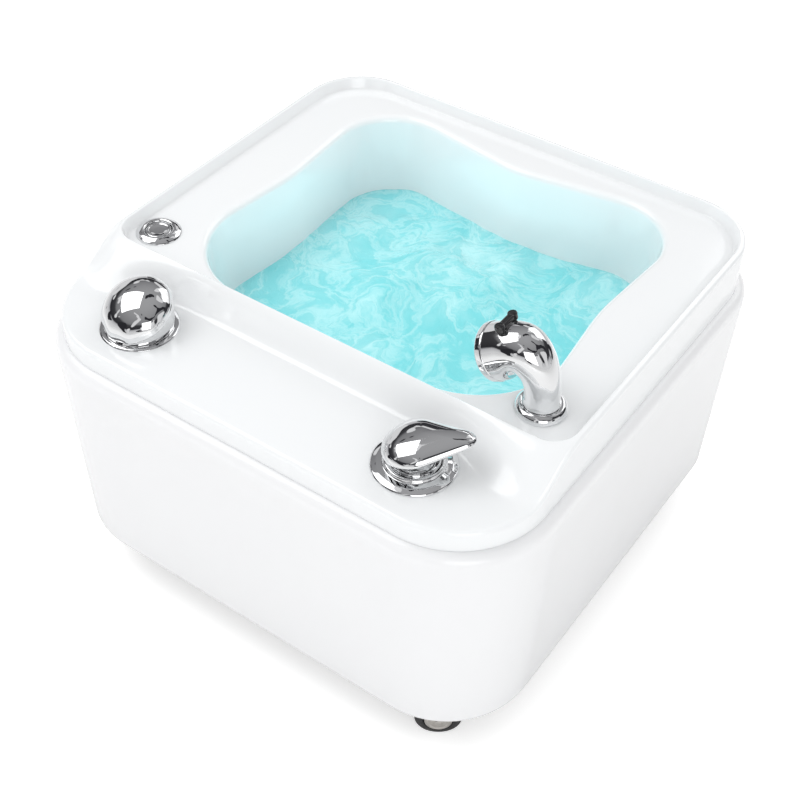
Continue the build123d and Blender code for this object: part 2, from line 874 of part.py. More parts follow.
with BuildPart() as air_button_plunger:
    turn(air_point, up, [(0, -plunger_depth), (air_plunger_radius, -plunger_depth),
                         (air_plunger_radius, 2.5), (air_plunger_radius - 2, 4), (0, 3.2)])
save(air_button_plunger, "air_button_plunger")

spring_length = air_cup_depth - 3 - plunger_depth
with BuildPart() as air_button_spring:
    wire = 0.8
    with BuildLine() as coil:
        Helix(
            pitch=(spring_length - 2 * wire) / 5,
            height=spring_length - 2 * wire - touch_gap,
            radius=9,
            center=(air_x, air_y, tray_z - air_cup_depth + 3 + wire),
        )
    with BuildSketch(Plane(origin=coil.line @ 0, z_dir=coil.line % 0)) as wire_section:
        Circle(wire)
    sweep(wire_section.sketch, path=coil.line)
save(air_button_spring, "air_button_spring")

# ---------------------------------------------------------------- hand spray and its holder
spray_point = (spray_x, spray_y, tray_z)
ring_height = 8.0
ring_edge = 2.5
ring_chamfer = 2.0
ledge_thickness = 4.0
ledge_bore = spray_shank_radius + 2
shank_bore_radius = 5.0
shank_bottom = 3.0 - spray_guide_length
shank_top = 18.0

with BuildPart() as spray_holder:
    turn(spray_point, up, [
        (spray_guide_bore, -spray_guide_length), (spray_guide_radius, -spray_guide_length),
        (spray_guide_radius, 0), (spray_ring_radius, 0), (spray_ring_radius, ring_edge),
        (spray_ring_radius - ring_chamfer, ring_height - ring_chamfer),
        (spray_guide_radius, ring_height), (ledge_bore, ring_height),
        (ledge_bore, ring_height - ledge_thickness),
        (spray_guide_bore, ring_height - ledge_thickness),
    ])
save(spray_holder, "spray_holder")

with BuildPart() as spray_shank:
    turn(spray_point, up, tube(spray_shank_radius, shank_bore_radius, shank_bottom, shank_top))
save(spray_shank, "spray_shank")

head_stations = [
    (0, ring_height + touch_gap, 0, spray_neck_radius),
    (0, 15, 0, 17.2),
    (2, 32, 10, 17.6),
    (11, 51, 40, 21),
    (25, 60, 78, 24.5),
    (39.6, 51.1, 90 + spray_face_fall, 27),
    (48, 45.6, 90 + spray_face_fall, spray_face_radius),
]
toggle_lean = 105.0
toggle_forward = 43.5
toggle_up = 78.2
toggle_stem_radius = 4.0
toggle_stem_depth = 7.5
toggle_seat_radius = 17.0
toggle_lobe_radius = 4.8
toggle_lobe_bottom = -0.5
toggle_lobe_top = 8.0
toggle_half_span = 11.0
toggle_bar_width = 7.0
toggle_bar_height = 6.0
toggle_bar_middle = 3.8
nozzle_radius = 1.2


def leaning(forward, rise, lean):
    """Plane on the spray head, tipped towards the basin by the lean angle."""
    tip = math.radians(lean)
    return Plane(
        origin=(spray_x - forward, spray_y, tray_z + rise),
        x_dir=(0, 1, 0),
        z_dir=(-math.sin(tip), 0, math.cos(tip)),
    )


toggle_plane = leaning(toggle_forward, toggle_up, toggle_lean - 90)
toggle_way = tuple(toggle_plane.z_dir)
toggle_point = tuple(toggle_plane.origin)

with BuildPart() as spray_head:
    rings = []
    for forward, rise, lean, radius in head_stations:
        with BuildSketch(leaning(forward, rise, lean)) as ring_sketch:
            Circle(radius)
        rings.append(ring_sketch.sketch.face())
    loft(rings)
    socket = rod(spray_shank_radius + running_gap, 0, shank_top + touch_gap)
    turn(spray_point, up, socket, Mode.SUBTRACT)
    stem_hole = rod(toggle_stem_radius + running_gap, -toggle_stem_depth - touch_gap, ring_height)
    turn(toggle_point, toggle_way, stem_hole, Mode.SUBTRACT)
    seat = rod(toggle_seat_radius, toggle_lobe_bottom - touch_gap, toggle_lobe_top)
    turn(toggle_point, toggle_way, seat, Mode.SUBTRACT)
save(spray_head, "spray_head")

with BuildPart() as spray_face:
    face_plane = leaning(*head_stations[-1][:3])
    with BuildSketch(face_plane) as face_disc:
        Circle(spray_face_radius)
    extrude(amount=spray_face_thickness)
    fillet(spray_face.faces().sort_by(Axis(face_plane.origin, face_plane.z_dir))[-1].edges(), 2)
    with BuildSketch(face_plane.offset(spray_face_thickness - 1.5)) as nozzles:
        with PolarLocations(spray_face_radius / 3, 8):
            Circle(nozzle_radius)
        with PolarLocations(2 * spray_face_radius / 3, 16):
            Circle(nozzle_radius)
    extrude(amount=2, mode=Mode.SUBTRACT)
save(spray_face, "spray_face")

with BuildPart() as spray_selector:
    turn(toggle_point, toggle_way, rod(toggle_stem_radius, -toggle_stem_depth, toggle_bar_middle))
    with Locations(toggle_plane.offset(toggle_bar_middle)):
        Box(2 * toggle_half_span + 2, toggle_bar_width, toggle_bar_height)
    for side in (-1, 1):
        lobe = toggle_plane.origin + toggle_plane.x_dir * (side * toggle_half_span)
        lobe_rod = rod(toggle_lobe_radius, toggle_lobe_bottom, toggle_lobe_top)
        turn(tuple(lobe), toggle_way, lobe_rod)
save(spray_selector, "spray_selector")

# ---------------------------------------------------------------- mixer and diverter
outlet_z = (valve_body_bottom + valve_body_top) / 2


def valve_profile(neck):
    """Valve body hung under the deck with its shank, ending in the given neck points."""
    return [
        (0, valve_body_bottom - deck_z),
        (valve_body_radius, valve_body_bottom - deck_z),
        (valve_body_radius, valve_body_top - deck_z),
        (valve_shank_radius, valve_body_top - deck_z),
    ] + neck


mixer_point = (mixer_x, mixer_y, deck_z)
spindle_radius = 8.0
spindle_depth = 12.0
neck_top = mixer_neck_height
shank_bore = valve_shank_radius + bore_gap

with BuildPart() as mixer_valve:
    turn(mixer_point, up, valve_profile([
        (valve_shank_radius, escutcheon_height), (mixer_neck_radius, escutcheon_height),
        (mixer_neck_radius, neck_top), (spindle_radius + running_gap, neck_top),
        (spindle_radius + running_gap, neck_top - spindle_depth), (0, neck_top - spindle_depth),
    ]))
    turn((mixer_x, mixer_y, outlet_z), (-1, 0, 0), rod(6, 20, 32))
save(mixer_valve, "mixer_valve")

with BuildPart() as mixer_escutcheon:
    rim = escutcheon_radius
    turn(mixer_point, up, [
        (shank_bore, 0), (rim, 0), (rim, 1.5), (rim - 2, 4), (27, escutcheon_height),
        (26, escutcheon_height + 2.5), (22, escutcheon_height + 2.5), (21, escutcheon_height),
        (shank_bore, escutcheon_height),
    ])
save(mixer_escutcheon, "mixer_escutcheon")

lever_way = (math.cos(math.radians(lever_angle)), math.sin(math.radians(lever_angle)))
trunnion_z = deck_z + lever_lift + trunnion_radius
trunnion_point = (mixer_x, mixer_y, trunnion_z)
trunnion_way = (-lever_way[1], lever_way[0], 0)
collar_bottom = neck_top + touch_gap
collar_top = neck_top + collar_height
lever_slope = math.radians(lever_tilt)

with BuildPart() as mixer_collar:
    turn(mixer_point, up, [
        (0, neck_top - spindle_depth + touch_gap),
        (spindle_radius, neck_top - spindle_depth + touch_gap),
        (spindle_radius, collar_bottom), (collar_radius, collar_bottom),
        (collar_radius, collar_top), (0, collar_top),
    ])
    post_rise = trunnion_z - deck_z - collar_top
    with Locations(
        Plane(
            origin=(mixer_x, mixer_y, deck_z + collar_top + post_rise / 2),
            x_dir=(*lever_way, 0),
            z_dir=up,
        )
    ):
        Box(post_depth, post_width, post_rise + 1)
    half_length = trunnion_length / 2
    turn(trunnion_point, trunnion_way, rod(trunnion_radius, -half_length, half_length))
save(mixer_collar, "mixer_collar")

lever_plane = Plane(
    origin=(mixer_x, mixer_y, deck_z + lever_lift),
    x_dir=(
        lever_way[0] * math.cos(lever_slope),
        lever_way[1] * math.cos(lever_slope),
        math.sin(lever_slope),
    ),
    z_dir=(
        -lever_way[0] * math.sin(lever_slope),
        -lever_way[1] * math.sin(lever_slope),
        math.cos(lever_slope),
    ),
)

with BuildPart() as mixer_lever:
    with BuildSketch(lever_plane) as teardrop:
        Circle(lever_heel_radius)
        with Locations((lever_reach, 0)):
            Circle(lever_tip_radius)
        make_hull()
    extrude(amount=lever_thickness)
    top_edges = mixer_lever.faces().sort_by(Axis(lever_plane.origin, lever_plane.z_dir))[-1].edges()
    fillet(top_edges, lever_round)
    turn(mixer_point, up, rod(lever_bore_radius, 0, lever_lift + 3), Mode.SUBTRACT)
    with Locations(
        Plane(origin=trunnion_point, x_dir=(*lever_way, 0), z_dir=up)
    ):
        Box(lever_bore_radius, post_width + 1, post_width + 1, mode=Mode.SUBTRACT)
    turn(
        trunnion_point,
        trunnion_way,
        rod(trunnion_radius + running_gap, -half_length - touch_gap, half_length + touch_gap),
        Mode.SUBTRACT,
    )
save(mixer_lever, "mixer_lever")

diverter_point = (diverter_x, diverter_y, deck_z)
stem_radius = 5.0
stem_top = 16.0
knob_plate = 2.5

with BuildPart() as diverter_valve:
    turn(diverter_point, up, valve_profile([
        (valve_shank_radius, knob_plate), (stem_radius, knob_plate),
        (stem_radius, stem_top), (0, stem_top),
    ]))
    turn((diverter_x, diverter_y, outlet_z), (1, 0, 0), rod(6, 20, 32))
save(diverter_valve, "diverter_valve")

with BuildPart() as diverter_escutcheon:
    turn(diverter_point, up, [
        (shank_bore, 0), (rim, 0), (rim, 1.5), (rim - 1.5, knob_plate), (shank_bore, knob_plate),
    ])
save(diverter_escutcheon, "diverter_escutcheon")

high_side = math.radians(knob_high_side)
knob_slope = math.radians(knob_tilt)
knob_plane = Plane(
    origin=(diverter_x, diverter_y, deck_z + knob_centre_lift),
    z_dir=(
        -math.sin(knob_slope) * math.cos(high_side),
        -math.sin(knob_slope) * math.sin(high_side),
        math.cos(knob_slope),
    ),
)
dome_radius = (knob_radius**2 + knob_dome_height**2) / (2 * knob_dome_height)
drum_inset = 0.8
drum_radius = knob_radius * math.cos(knob_slope) - drum_inset

with BuildPart() as knob_dome:
    with Locations(knob_plane.offset(knob_dome_height - dome_radius)):
        Sphere(dome_radius)
    split(bisect_by=knob_plane, keep=Keep.TOP)

with BuildPart() as diverter_knob:
    turn(diverter_point, up, rod(drum_radius, knob_plate + touch_gap, knob_radius))
    split(bisect_by=knob_plane, keep=Keep.BOTTOM)
    add(knob_dome.part)
    turn(diverter_point, up, rod(stem_radius + running_gap, 0, stem_top + touch_gap), Mode.SUBTRACT)
save(diverter_knob, "diverter_knob")

with BuildPart() as deck_nuts:
    for point in (mixer_point, diverter_point):
        turn(point, up, tube(valve_shank_radius + 10, shank_bore, -shell_wall - 10, -shell_wall))
save(deck_nuts, "deck_nuts")

with BuildPart() as tray_nuts:
    turn(air_point, up, tube(air_body_radius + 7, air_body_radius + bore_gap,
                             -shell_wall - 8, -shell_wall))
    turn(spray_point, up, tube(spray_guide_radius + 7, spray_guide_radius + bore_gap,
                               -shell_wall - 8, -shell_wall))
save(tray_nuts, "tray_nuts")

# ---------------------------------------------------------------- hoses and leads
hose_radius = 5.5
hose_z = 100.0
rise_y = pump_y - 49

with BuildPart() as supply_hoses:
    for place, lane_x, rise_x, inlet_offset in (
        (inlet_places[0], 130, 150, -9),
        (inlet_places[1], 155, 172, 9),
    ):
        inlet_end_y = place[1] - 30
        route = [
            (place[0], inlet_end_y, connection_z),
            (place[0], inlet_end_y - 45, connection_z),
            (lane_x, 100, hose_z),
            (lane_x, -180, hose_z),
            (rise_x, rise_y, hose_z + 5),
            (rise_x, rise_y, 190),
            (mixer_x + inlet_offset, mixer_y, 238),
            (mixer_x + inlet_offset, mixer_y, valve_body_bottom),
        ]
        hose(route, hose_radius, 0, bend_radii(route))
        print("supply hose bends", [round(radius) for radius in bend_radii(route)])
save(supply_hoses, "supply_hoses")

with BuildPart() as mixed_hose:
    route = [
        (mixer_x - 32, mixer_y, outlet_z),
        (mixer_x - 80, mixer_y, outlet_z),
        (0, mixer_y - 10, outlet_z - 14),
        (diverter_x + 80, diverter_y, outlet_z),
        (diverter_x + 32, diverter_y, outlet_z),
    ]
    hose(route, hose_radius, 0, bend_radii(route))
    print("mixed hose bends", [round(radius) for radius in bend_radii(route)])
save(mixed_hose, "mixed_hose")

with BuildPart() as spray_hose:
    lane_z = 238.0
    route = [
        (diverter_x, diverter_y, valve_body_bottom),
        (diverter_x, diverter_y, lane_z),
        (diverter_x + 24, -258, lane_z - 8),
        (0, -262, lane_z),
        (190, -250, lane_z),
        (spray_x + 12, -190, lane_z),
        (spray_x + 4, spray_y - 20, lane_z + 10),
        (spray_x, spray_y, 285),
        (spray_x, spray_y, tray_z - spray_guide_length + 3),
    ]
    hose(route, hose_radius, 0, bend_radii(route))
    print("spray hose bends", [round(radius) for radius in bend_radii(route)])
save(spray_hose, "spray_hose")

with BuildPart() as air_tube:
    route = [
        (air_x, air_y, tray_z - air_cup_depth - 8),
        (air_x, air_y, 270),
        (-225, -160, 215),
        (control_x, control_y, 190),
        (control_x, control_y, control_top + 8),
    ]
    hose(route, 2.5, 0, bend_radii(route))
    print("air tube bends", [round(radius) for radius in bend_radii(route)])
save(air_tube, "air_tube")

with BuildPart() as wiring:
    lead_radius = 3.0
    mains_route = [
        (gland_x, frame_half_depth - 10, connection_z),
        (gland_x - 5, frame_half_depth - 60, connection_z),
        (-130, 110, 100),
        (-135, -40, 95),
        (control_x + 10, control_y + control_depth / 2 + 45, 110),
        (control_x + 10, control_y + control_depth / 2, 110),
    ]
    motor_box_z = pump_z + motor_radius + 9
    pump_route = [
        (control_x + 25, pump_y, control_top),
        (control_x + 25, pump_y, motor_box_z),
        (volute_x - motor_length / 2 - 20, pump_y, motor_box_z),
    ]
    light_route = [
        (light_x, light_place[0][1] - fitting_shank_length, jet_z),
        (light_x, light_place[0][1] - fitting_shank_length - 25, jet_z),
        (control_x + 15, control_y + 18, 200),
        (control_x + 15, control_y + 18, control_top),
    ]
    for route in (mains_route, pump_route, light_route):
        hose(route, lead_radius, 0, bend_radii(route))
        print("lead bends", [round(radius) for radius in bend_radii(route)])
save(wiring, "wiring")
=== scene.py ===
"""Foot spa basin: shells, chrome fittings, castors and lit water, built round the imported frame."""
import json
import logging
import math
from dataclasses import dataclass
from enum import Enum
from typing import Iterable, Sequence

import bmesh
import bpy
import numpy as np
from mathutils import Matrix, Vector


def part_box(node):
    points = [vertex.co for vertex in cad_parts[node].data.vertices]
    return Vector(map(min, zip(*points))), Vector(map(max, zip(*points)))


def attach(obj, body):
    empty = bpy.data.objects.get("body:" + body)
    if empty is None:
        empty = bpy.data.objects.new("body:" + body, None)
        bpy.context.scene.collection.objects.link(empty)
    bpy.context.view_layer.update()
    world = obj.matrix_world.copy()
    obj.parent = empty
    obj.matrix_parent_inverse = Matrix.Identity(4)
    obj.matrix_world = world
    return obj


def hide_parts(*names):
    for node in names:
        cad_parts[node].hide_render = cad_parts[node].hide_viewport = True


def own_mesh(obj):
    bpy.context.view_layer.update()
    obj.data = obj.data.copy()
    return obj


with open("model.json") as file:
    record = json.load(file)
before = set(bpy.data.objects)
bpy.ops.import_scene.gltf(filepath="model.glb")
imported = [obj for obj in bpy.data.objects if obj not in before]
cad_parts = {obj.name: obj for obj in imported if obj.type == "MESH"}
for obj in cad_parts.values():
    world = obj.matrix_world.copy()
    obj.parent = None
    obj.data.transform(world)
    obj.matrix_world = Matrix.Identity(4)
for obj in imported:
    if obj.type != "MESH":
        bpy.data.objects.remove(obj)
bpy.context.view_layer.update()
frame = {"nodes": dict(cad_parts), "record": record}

log = logging.getLogger("foot_spa")

MM = 0.001
Point2 = tuple[float, float]
Point3 = tuple[float, float, float]
Rgb = tuple[float, float, float]


# ---------------------------------------------------------------- shapes
def smooth_step(t: np.ndarray | float) -> np.ndarray | float:
    """Return the cubic ease of t between 0 and 1."""
    t = np.clip(t, 0.0, 1.0)
    return t * t * (3.0 - 2.0 * t)


def unit(direction: Sequence[float]) -> Vector:
    """Return a direction at unit length."""
    return Vector(direction).normalized()


def make_object(name: str, points: Sequence[Sequence[float]], faces: Sequence[Sequence[int]],
                sharp_deg: float = 40.0) -> bpy.types.Object:
    """Make a smooth-shaded mesh object.

    Args:
        name: the piece's name.
        points: corner points in millimetres, in the row frame.
        faces: corner numbers of each face.
        sharp_deg: edges that turn by more than this stay sharp.

    Returns:
        The new object, linked into the scene.
    """
    mesh = bpy.data.meshes.new(name)
    mesh.from_pydata([tuple(c * MM for c in p) for p in points], [], [tuple(f) for f in faces])
    work = bmesh.new()
    work.from_mesh(mesh)
    bmesh.ops.remove_doubles(work, verts=work.verts, dist=1e-6)
    bmesh.ops.dissolve_degenerate(work, edges=work.edges, dist=1e-7)
    bmesh.ops.recalc_face_normals(work, faces=work.faces)
    work.to_mesh(mesh)
    work.free()
    mesh.shade_smooth()
    mesh.set_sharp_from_angle(angle=math.radians(sharp_deg))
    piece = bpy.data.objects.new(name, mesh)
    bpy.context.scene.collection.objects.link(piece)
    return piece


def apply_modifiers(piece: bpy.types.Object, sharp_deg: float = 40.0) -> None:
    """Bake a piece's modifiers into its mesh and shade it smooth again.

    Args:
        piece: the object whose modifiers are applied.
        sharp_deg: edges that turn by more than this stay sharp.
    """
    bpy.context.view_layer.update()
    finished = bpy.data.meshes.new_from_object(
        piece.evaluated_get(bpy.context.evaluated_depsgraph_get())
    )
    piece.modifiers.clear()
    piece.data = finished
    finished.shade_smooth()
    finished.set_sharp_from_angle(angle=math.radians(sharp_deg))


def ring_faces(sizes: Sequence[int], closed: bool) -> list[list[int]]:
    """Number the faces of a skin over rings of points.

    Args:
        sizes: how many points each ring has; one point makes a pole.
        closed: join the last ring to the first.

    Returns:
        Lists of point numbers.
    """
    starts = np.concatenate([[0], np.cumsum(sizes)])
    pairs = [(i, i + 1) for i in range(len(sizes) - 1)]
    if closed:
        pairs.append((len(sizes) - 1, 0))
    faces = []
    for first, second in pairs:
        a, b = int(starts[first]), int(starts[second])
        count = max(sizes[first], sizes[second])
        for i in range(count):
            j = (i + 1) % count
            if sizes[first] == 1:
                faces.append([a, b + i, b + j])
            elif sizes[second] == 1:
                faces.append([a + i, b, a + j])
            else:
                faces.append([a + i, b + i, b + j, a + j])
    return faces


def skin(name: str, rings: Sequence[np.ndarray], closed: bool = False,
         sharp_deg: float = 40.0) -> bpy.types.Object:
    """Stretch a skin over rings of points.

    Args:
        name: the piece's name.
        rings: rings of points in millimetres; a ring of one point is a pole.
        closed: join the last ring to the first.
        sharp_deg: edges that turn by more than this stay sharp.

    Returns:
        The new object.
    """
    points = np.concatenate([np.asarray(ring, float).reshape(-1, 3) for ring in rings])
    sizes = [len(np.asarray(ring).reshape(-1, 3)) for ring in rings]
    return make_object(name, points.tolist(), ring_faces(sizes, closed), sharp_deg)


def softened(points: Sequence[Point2], radius: float, steps: int = 4) -> list[Point2]:
    """Round the corners of a closed profile, leaving those on the axis.

    Args:
        points: the profile's corners.
        radius: how far each round reaches along its two sides.
        steps: how many chords each round has.

    Returns:
        The rounded profile.
    """
    rounded: list[Point2] = []
    count = len(points)
    for i, corner in enumerate(points):
        here = np.array(corner)
        before, after = np.array(points[i - 1]), np.array(points[(i + 1) % count])
        if corner[0] < 1e-6:
            rounded.append(corner)
            continue
        reach = min(radius, 0.45 * np.linalg.norm(before - here),
                    0.45 * np.linalg.norm(after - here))
        start = here + (before - here) / max(np.linalg.norm(before - here), 1e-9) * reach
        end = here + (after - here) / max(np.linalg.norm(after - here), 1e-9) * reach
        for step in range(steps + 1):
            t = step / steps
            rounded.append(tuple((1 - t) ** 2 * start + 2 * t * (1 - t) * here + t * t * end))
    return rounded


def turned_rings(profile: Sequence[Point2], origin: Sequence[float], axis: Sequence[float],
                 steps: int) -> list[np.ndarray]:
    """Work out the rings of a turned piece.

    Args:
        profile: (radius, distance along the axis) points in millimetres.
        origin: a point on the axis.
        axis: the axis's direction.
        steps: chords round the axis.

    Returns:
        One ring for each profile point.
    """
    along = unit(axis)
    side = Vector((0, 0, 1)) if abs(along.z) < 0.9 else Vector((1, 0, 0))
    across = along.cross(side).normalized()
    third = along.cross(across)
    base = np.array(origin, float)
    turn = np.linspace(0, 2 * math.pi, steps, endpoint=False)
    spokes = np.outer(np.cos(turn), np.array(across)) + np.outer(np.sin(turn), np.array(third))
    rings = []
    for radius, distance in profile:
        middle = base + np.array(along) * distance
        rings.append(middle[None, :] if radius < 1e-6 else middle + spokes * radius)
    return rings


def turned(name: str, profile: Sequence[Point2], origin: Sequence[float], axis: Sequence[float],
           soft: float = 0.6, steps: int = 72) -> bpy.types.Object:
    """Make a piece turned from a closed profile.

    Args:
        name: the piece's name.
        profile: (radius, distance along the axis) corners in millimetres.
        origin: a point on the axis, in millimetres.
        axis: the axis's direction.
        soft: reach of the rounds at the profile's corners.
        steps: chords round the axis.

    Returns:
        The new object.
    """
    rings = turned_rings(softened(profile, soft), origin, axis, steps)
    on_axis = profile[0][0] < 1e-6 and profile[-1][0] < 1e-6
    return skin(name, rings, closed=not on_axis)


def joined(name: str, pieces: Sequence[bpy.types.Object]) -> bpy.types.Object:
    """Join several meshes into one named piece.

    Args:
        name: the joined piece's name.
        pieces: the objects, which are used up.

    Returns:
        The joined object.
    """
    work = bmesh.new()
    for piece in pieces:
        work.from_mesh(piece.data)
    mesh = bpy.data.meshes.new(name)
    work.to_mesh(mesh)
    work.free()
    for piece in pieces:
        bpy.data.objects.remove(piece)
    mesh.shade_smooth()
    mesh.set_sharp_from_angle(angle=math.radians(40))
    whole = bpy.data.objects.new(name, mesh)
    bpy.context.scene.collection.objects.link(whole)
    return whole


def place_piece(piece: bpy.types.Object, body: str, material: bpy.types.Material,
                replaced: Iterable[str] = ()) -> bpy.types.Object:
    """Give a piece its material and its place in the frame.

    Args:
        piece: the object.
        body: the frame's body that it moves with.
        material: its finish.
        replaced: the frame's nodes that it stands for.

    Returns:
        The same object.
    """
    piece.data.materials.clear()
    piece.data.materials.append(material)
    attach(piece, body)
    nodes = list(replaced)
    if nodes:
        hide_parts(*nodes)
    log.info("%s rides on %s, %d faces", piece.name, body, len(piece.data.polygons))
    return piece


def node_centre(node: str) -> np.ndarray:
    """Return the middle of a frame node's box in millimetres."""
    low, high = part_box(node)
    return np.array((low + high) / 2) / MM


# ---------------------------------------------------------------- outlines in plan
@dataclass(frozen=True)
class Corner:
    """One corner of an outline in plan, with its round."""

    x: float
    y: float
    radius: float


def outline(corners: Sequence[Corner], steps: int = 28) -> np.ndarray:
    """Trace a closed outline with rounded corners.

    Args:
        corners: its corners, counter-clockwise.
        steps: chords in each round.

    Returns:
        Points round it.
    """
    traced = []
    count = len(corners)
    for i, corner in enumerate(corners):
        here = np.array([corner.x, corner.y])
        back = np.array([corners[i - 1].x, corners[i - 1].y]) - here
        ahead = np.array([corners[(i + 1) % count].x, corners[(i + 1) % count].y]) - here
        back /= np.linalg.norm(back)
        ahead /= np.linalg.norm(ahead)
        half = math.acos(float(np.clip(back @ ahead, -1, 1))) / 2
        middle = (back + ahead) / np.linalg.norm(back + ahead)
        centre = here + middle * corner.radius / math.sin(half)
        start = here + back * corner.radius / math.tan(half) - centre
        end = here + ahead * corner.radius / math.tan(half) - centre
        first = math.atan2(start[1], start[0])
        sweep = math.atan2(end[1], end[0]) - first
        sweep = (sweep + math.pi) % (2 * math.pi) - math.pi
        for step in range(steps + 1):
            angle = first + sweep * step / steps
            traced.append(centre + corner.radius * np.array([math.cos(angle), math.sin(angle)]))
    return with_straights(np.array(traced))


def with_straights(points: np.ndarray, pitch: float = 3.0) -> np.ndarray:
    """Add points along an outline's straight runs, so that rays measure them truly."""
    filled = []
    for here, ahead in zip(points, np.roll(points, -1, axis=0)):
        count = max(1, int(np.linalg.norm(ahead - here) / pitch))
        filled += [here + (ahead - here) * step / count for step in range(count)]
    return np.array(filled)


def grown(points: np.ndarray, amount: float) -> np.ndarray:
    """Shift an outline outward by an amount along its normals."""
    ahead = np.roll(points, -1, axis=0) - np.roll(points, 1, axis=0)
    normal = np.stack([ahead[:, 1], -ahead[:, 0]], axis=1)
    normal /= np.maximum(np.linalg.norm(normal, axis=1, keepdims=True), 1e-9)
    return points + normal * amount


@dataclass(frozen=True)
class Spokes:
    """Rays in plan from one centre, along which every outline is measured."""

    centre: Point2
    count: int

    def angles(self) -> np.ndarray:
        """Return the rays' directions."""
        return np.linspace(0, 2 * math.pi, self.count, endpoint=False)

    def reach(self, points: np.ndarray) -> np.ndarray:
        """Measure an outline along every ray.

        Args:
            points: the outline, dense, star-shaped about the centre.

        Returns:
            Its distance from the centre along each ray.
        """
        arm = points - np.array(self.centre)
        angle = np.mod(np.arctan2(arm[:, 1], arm[:, 0]), 2 * math.pi)
        order = np.argsort(angle)
        return np.interp(self.angles(), angle[order], np.linalg.norm(arm, axis=1)[order],
                         period=2 * math.pi)

    def ring(self, reach: np.ndarray, height: np.ndarray | float) -> np.ndarray:
        """Place a ring of points at a reach and a height."""
        angle = self.angles()
        x = self.centre[0] + reach * np.cos(angle)
        y = self.centre[1] + reach * np.sin(angle)
        return np.stack([x, y, np.broadcast_to(height, x.shape)], axis=1)


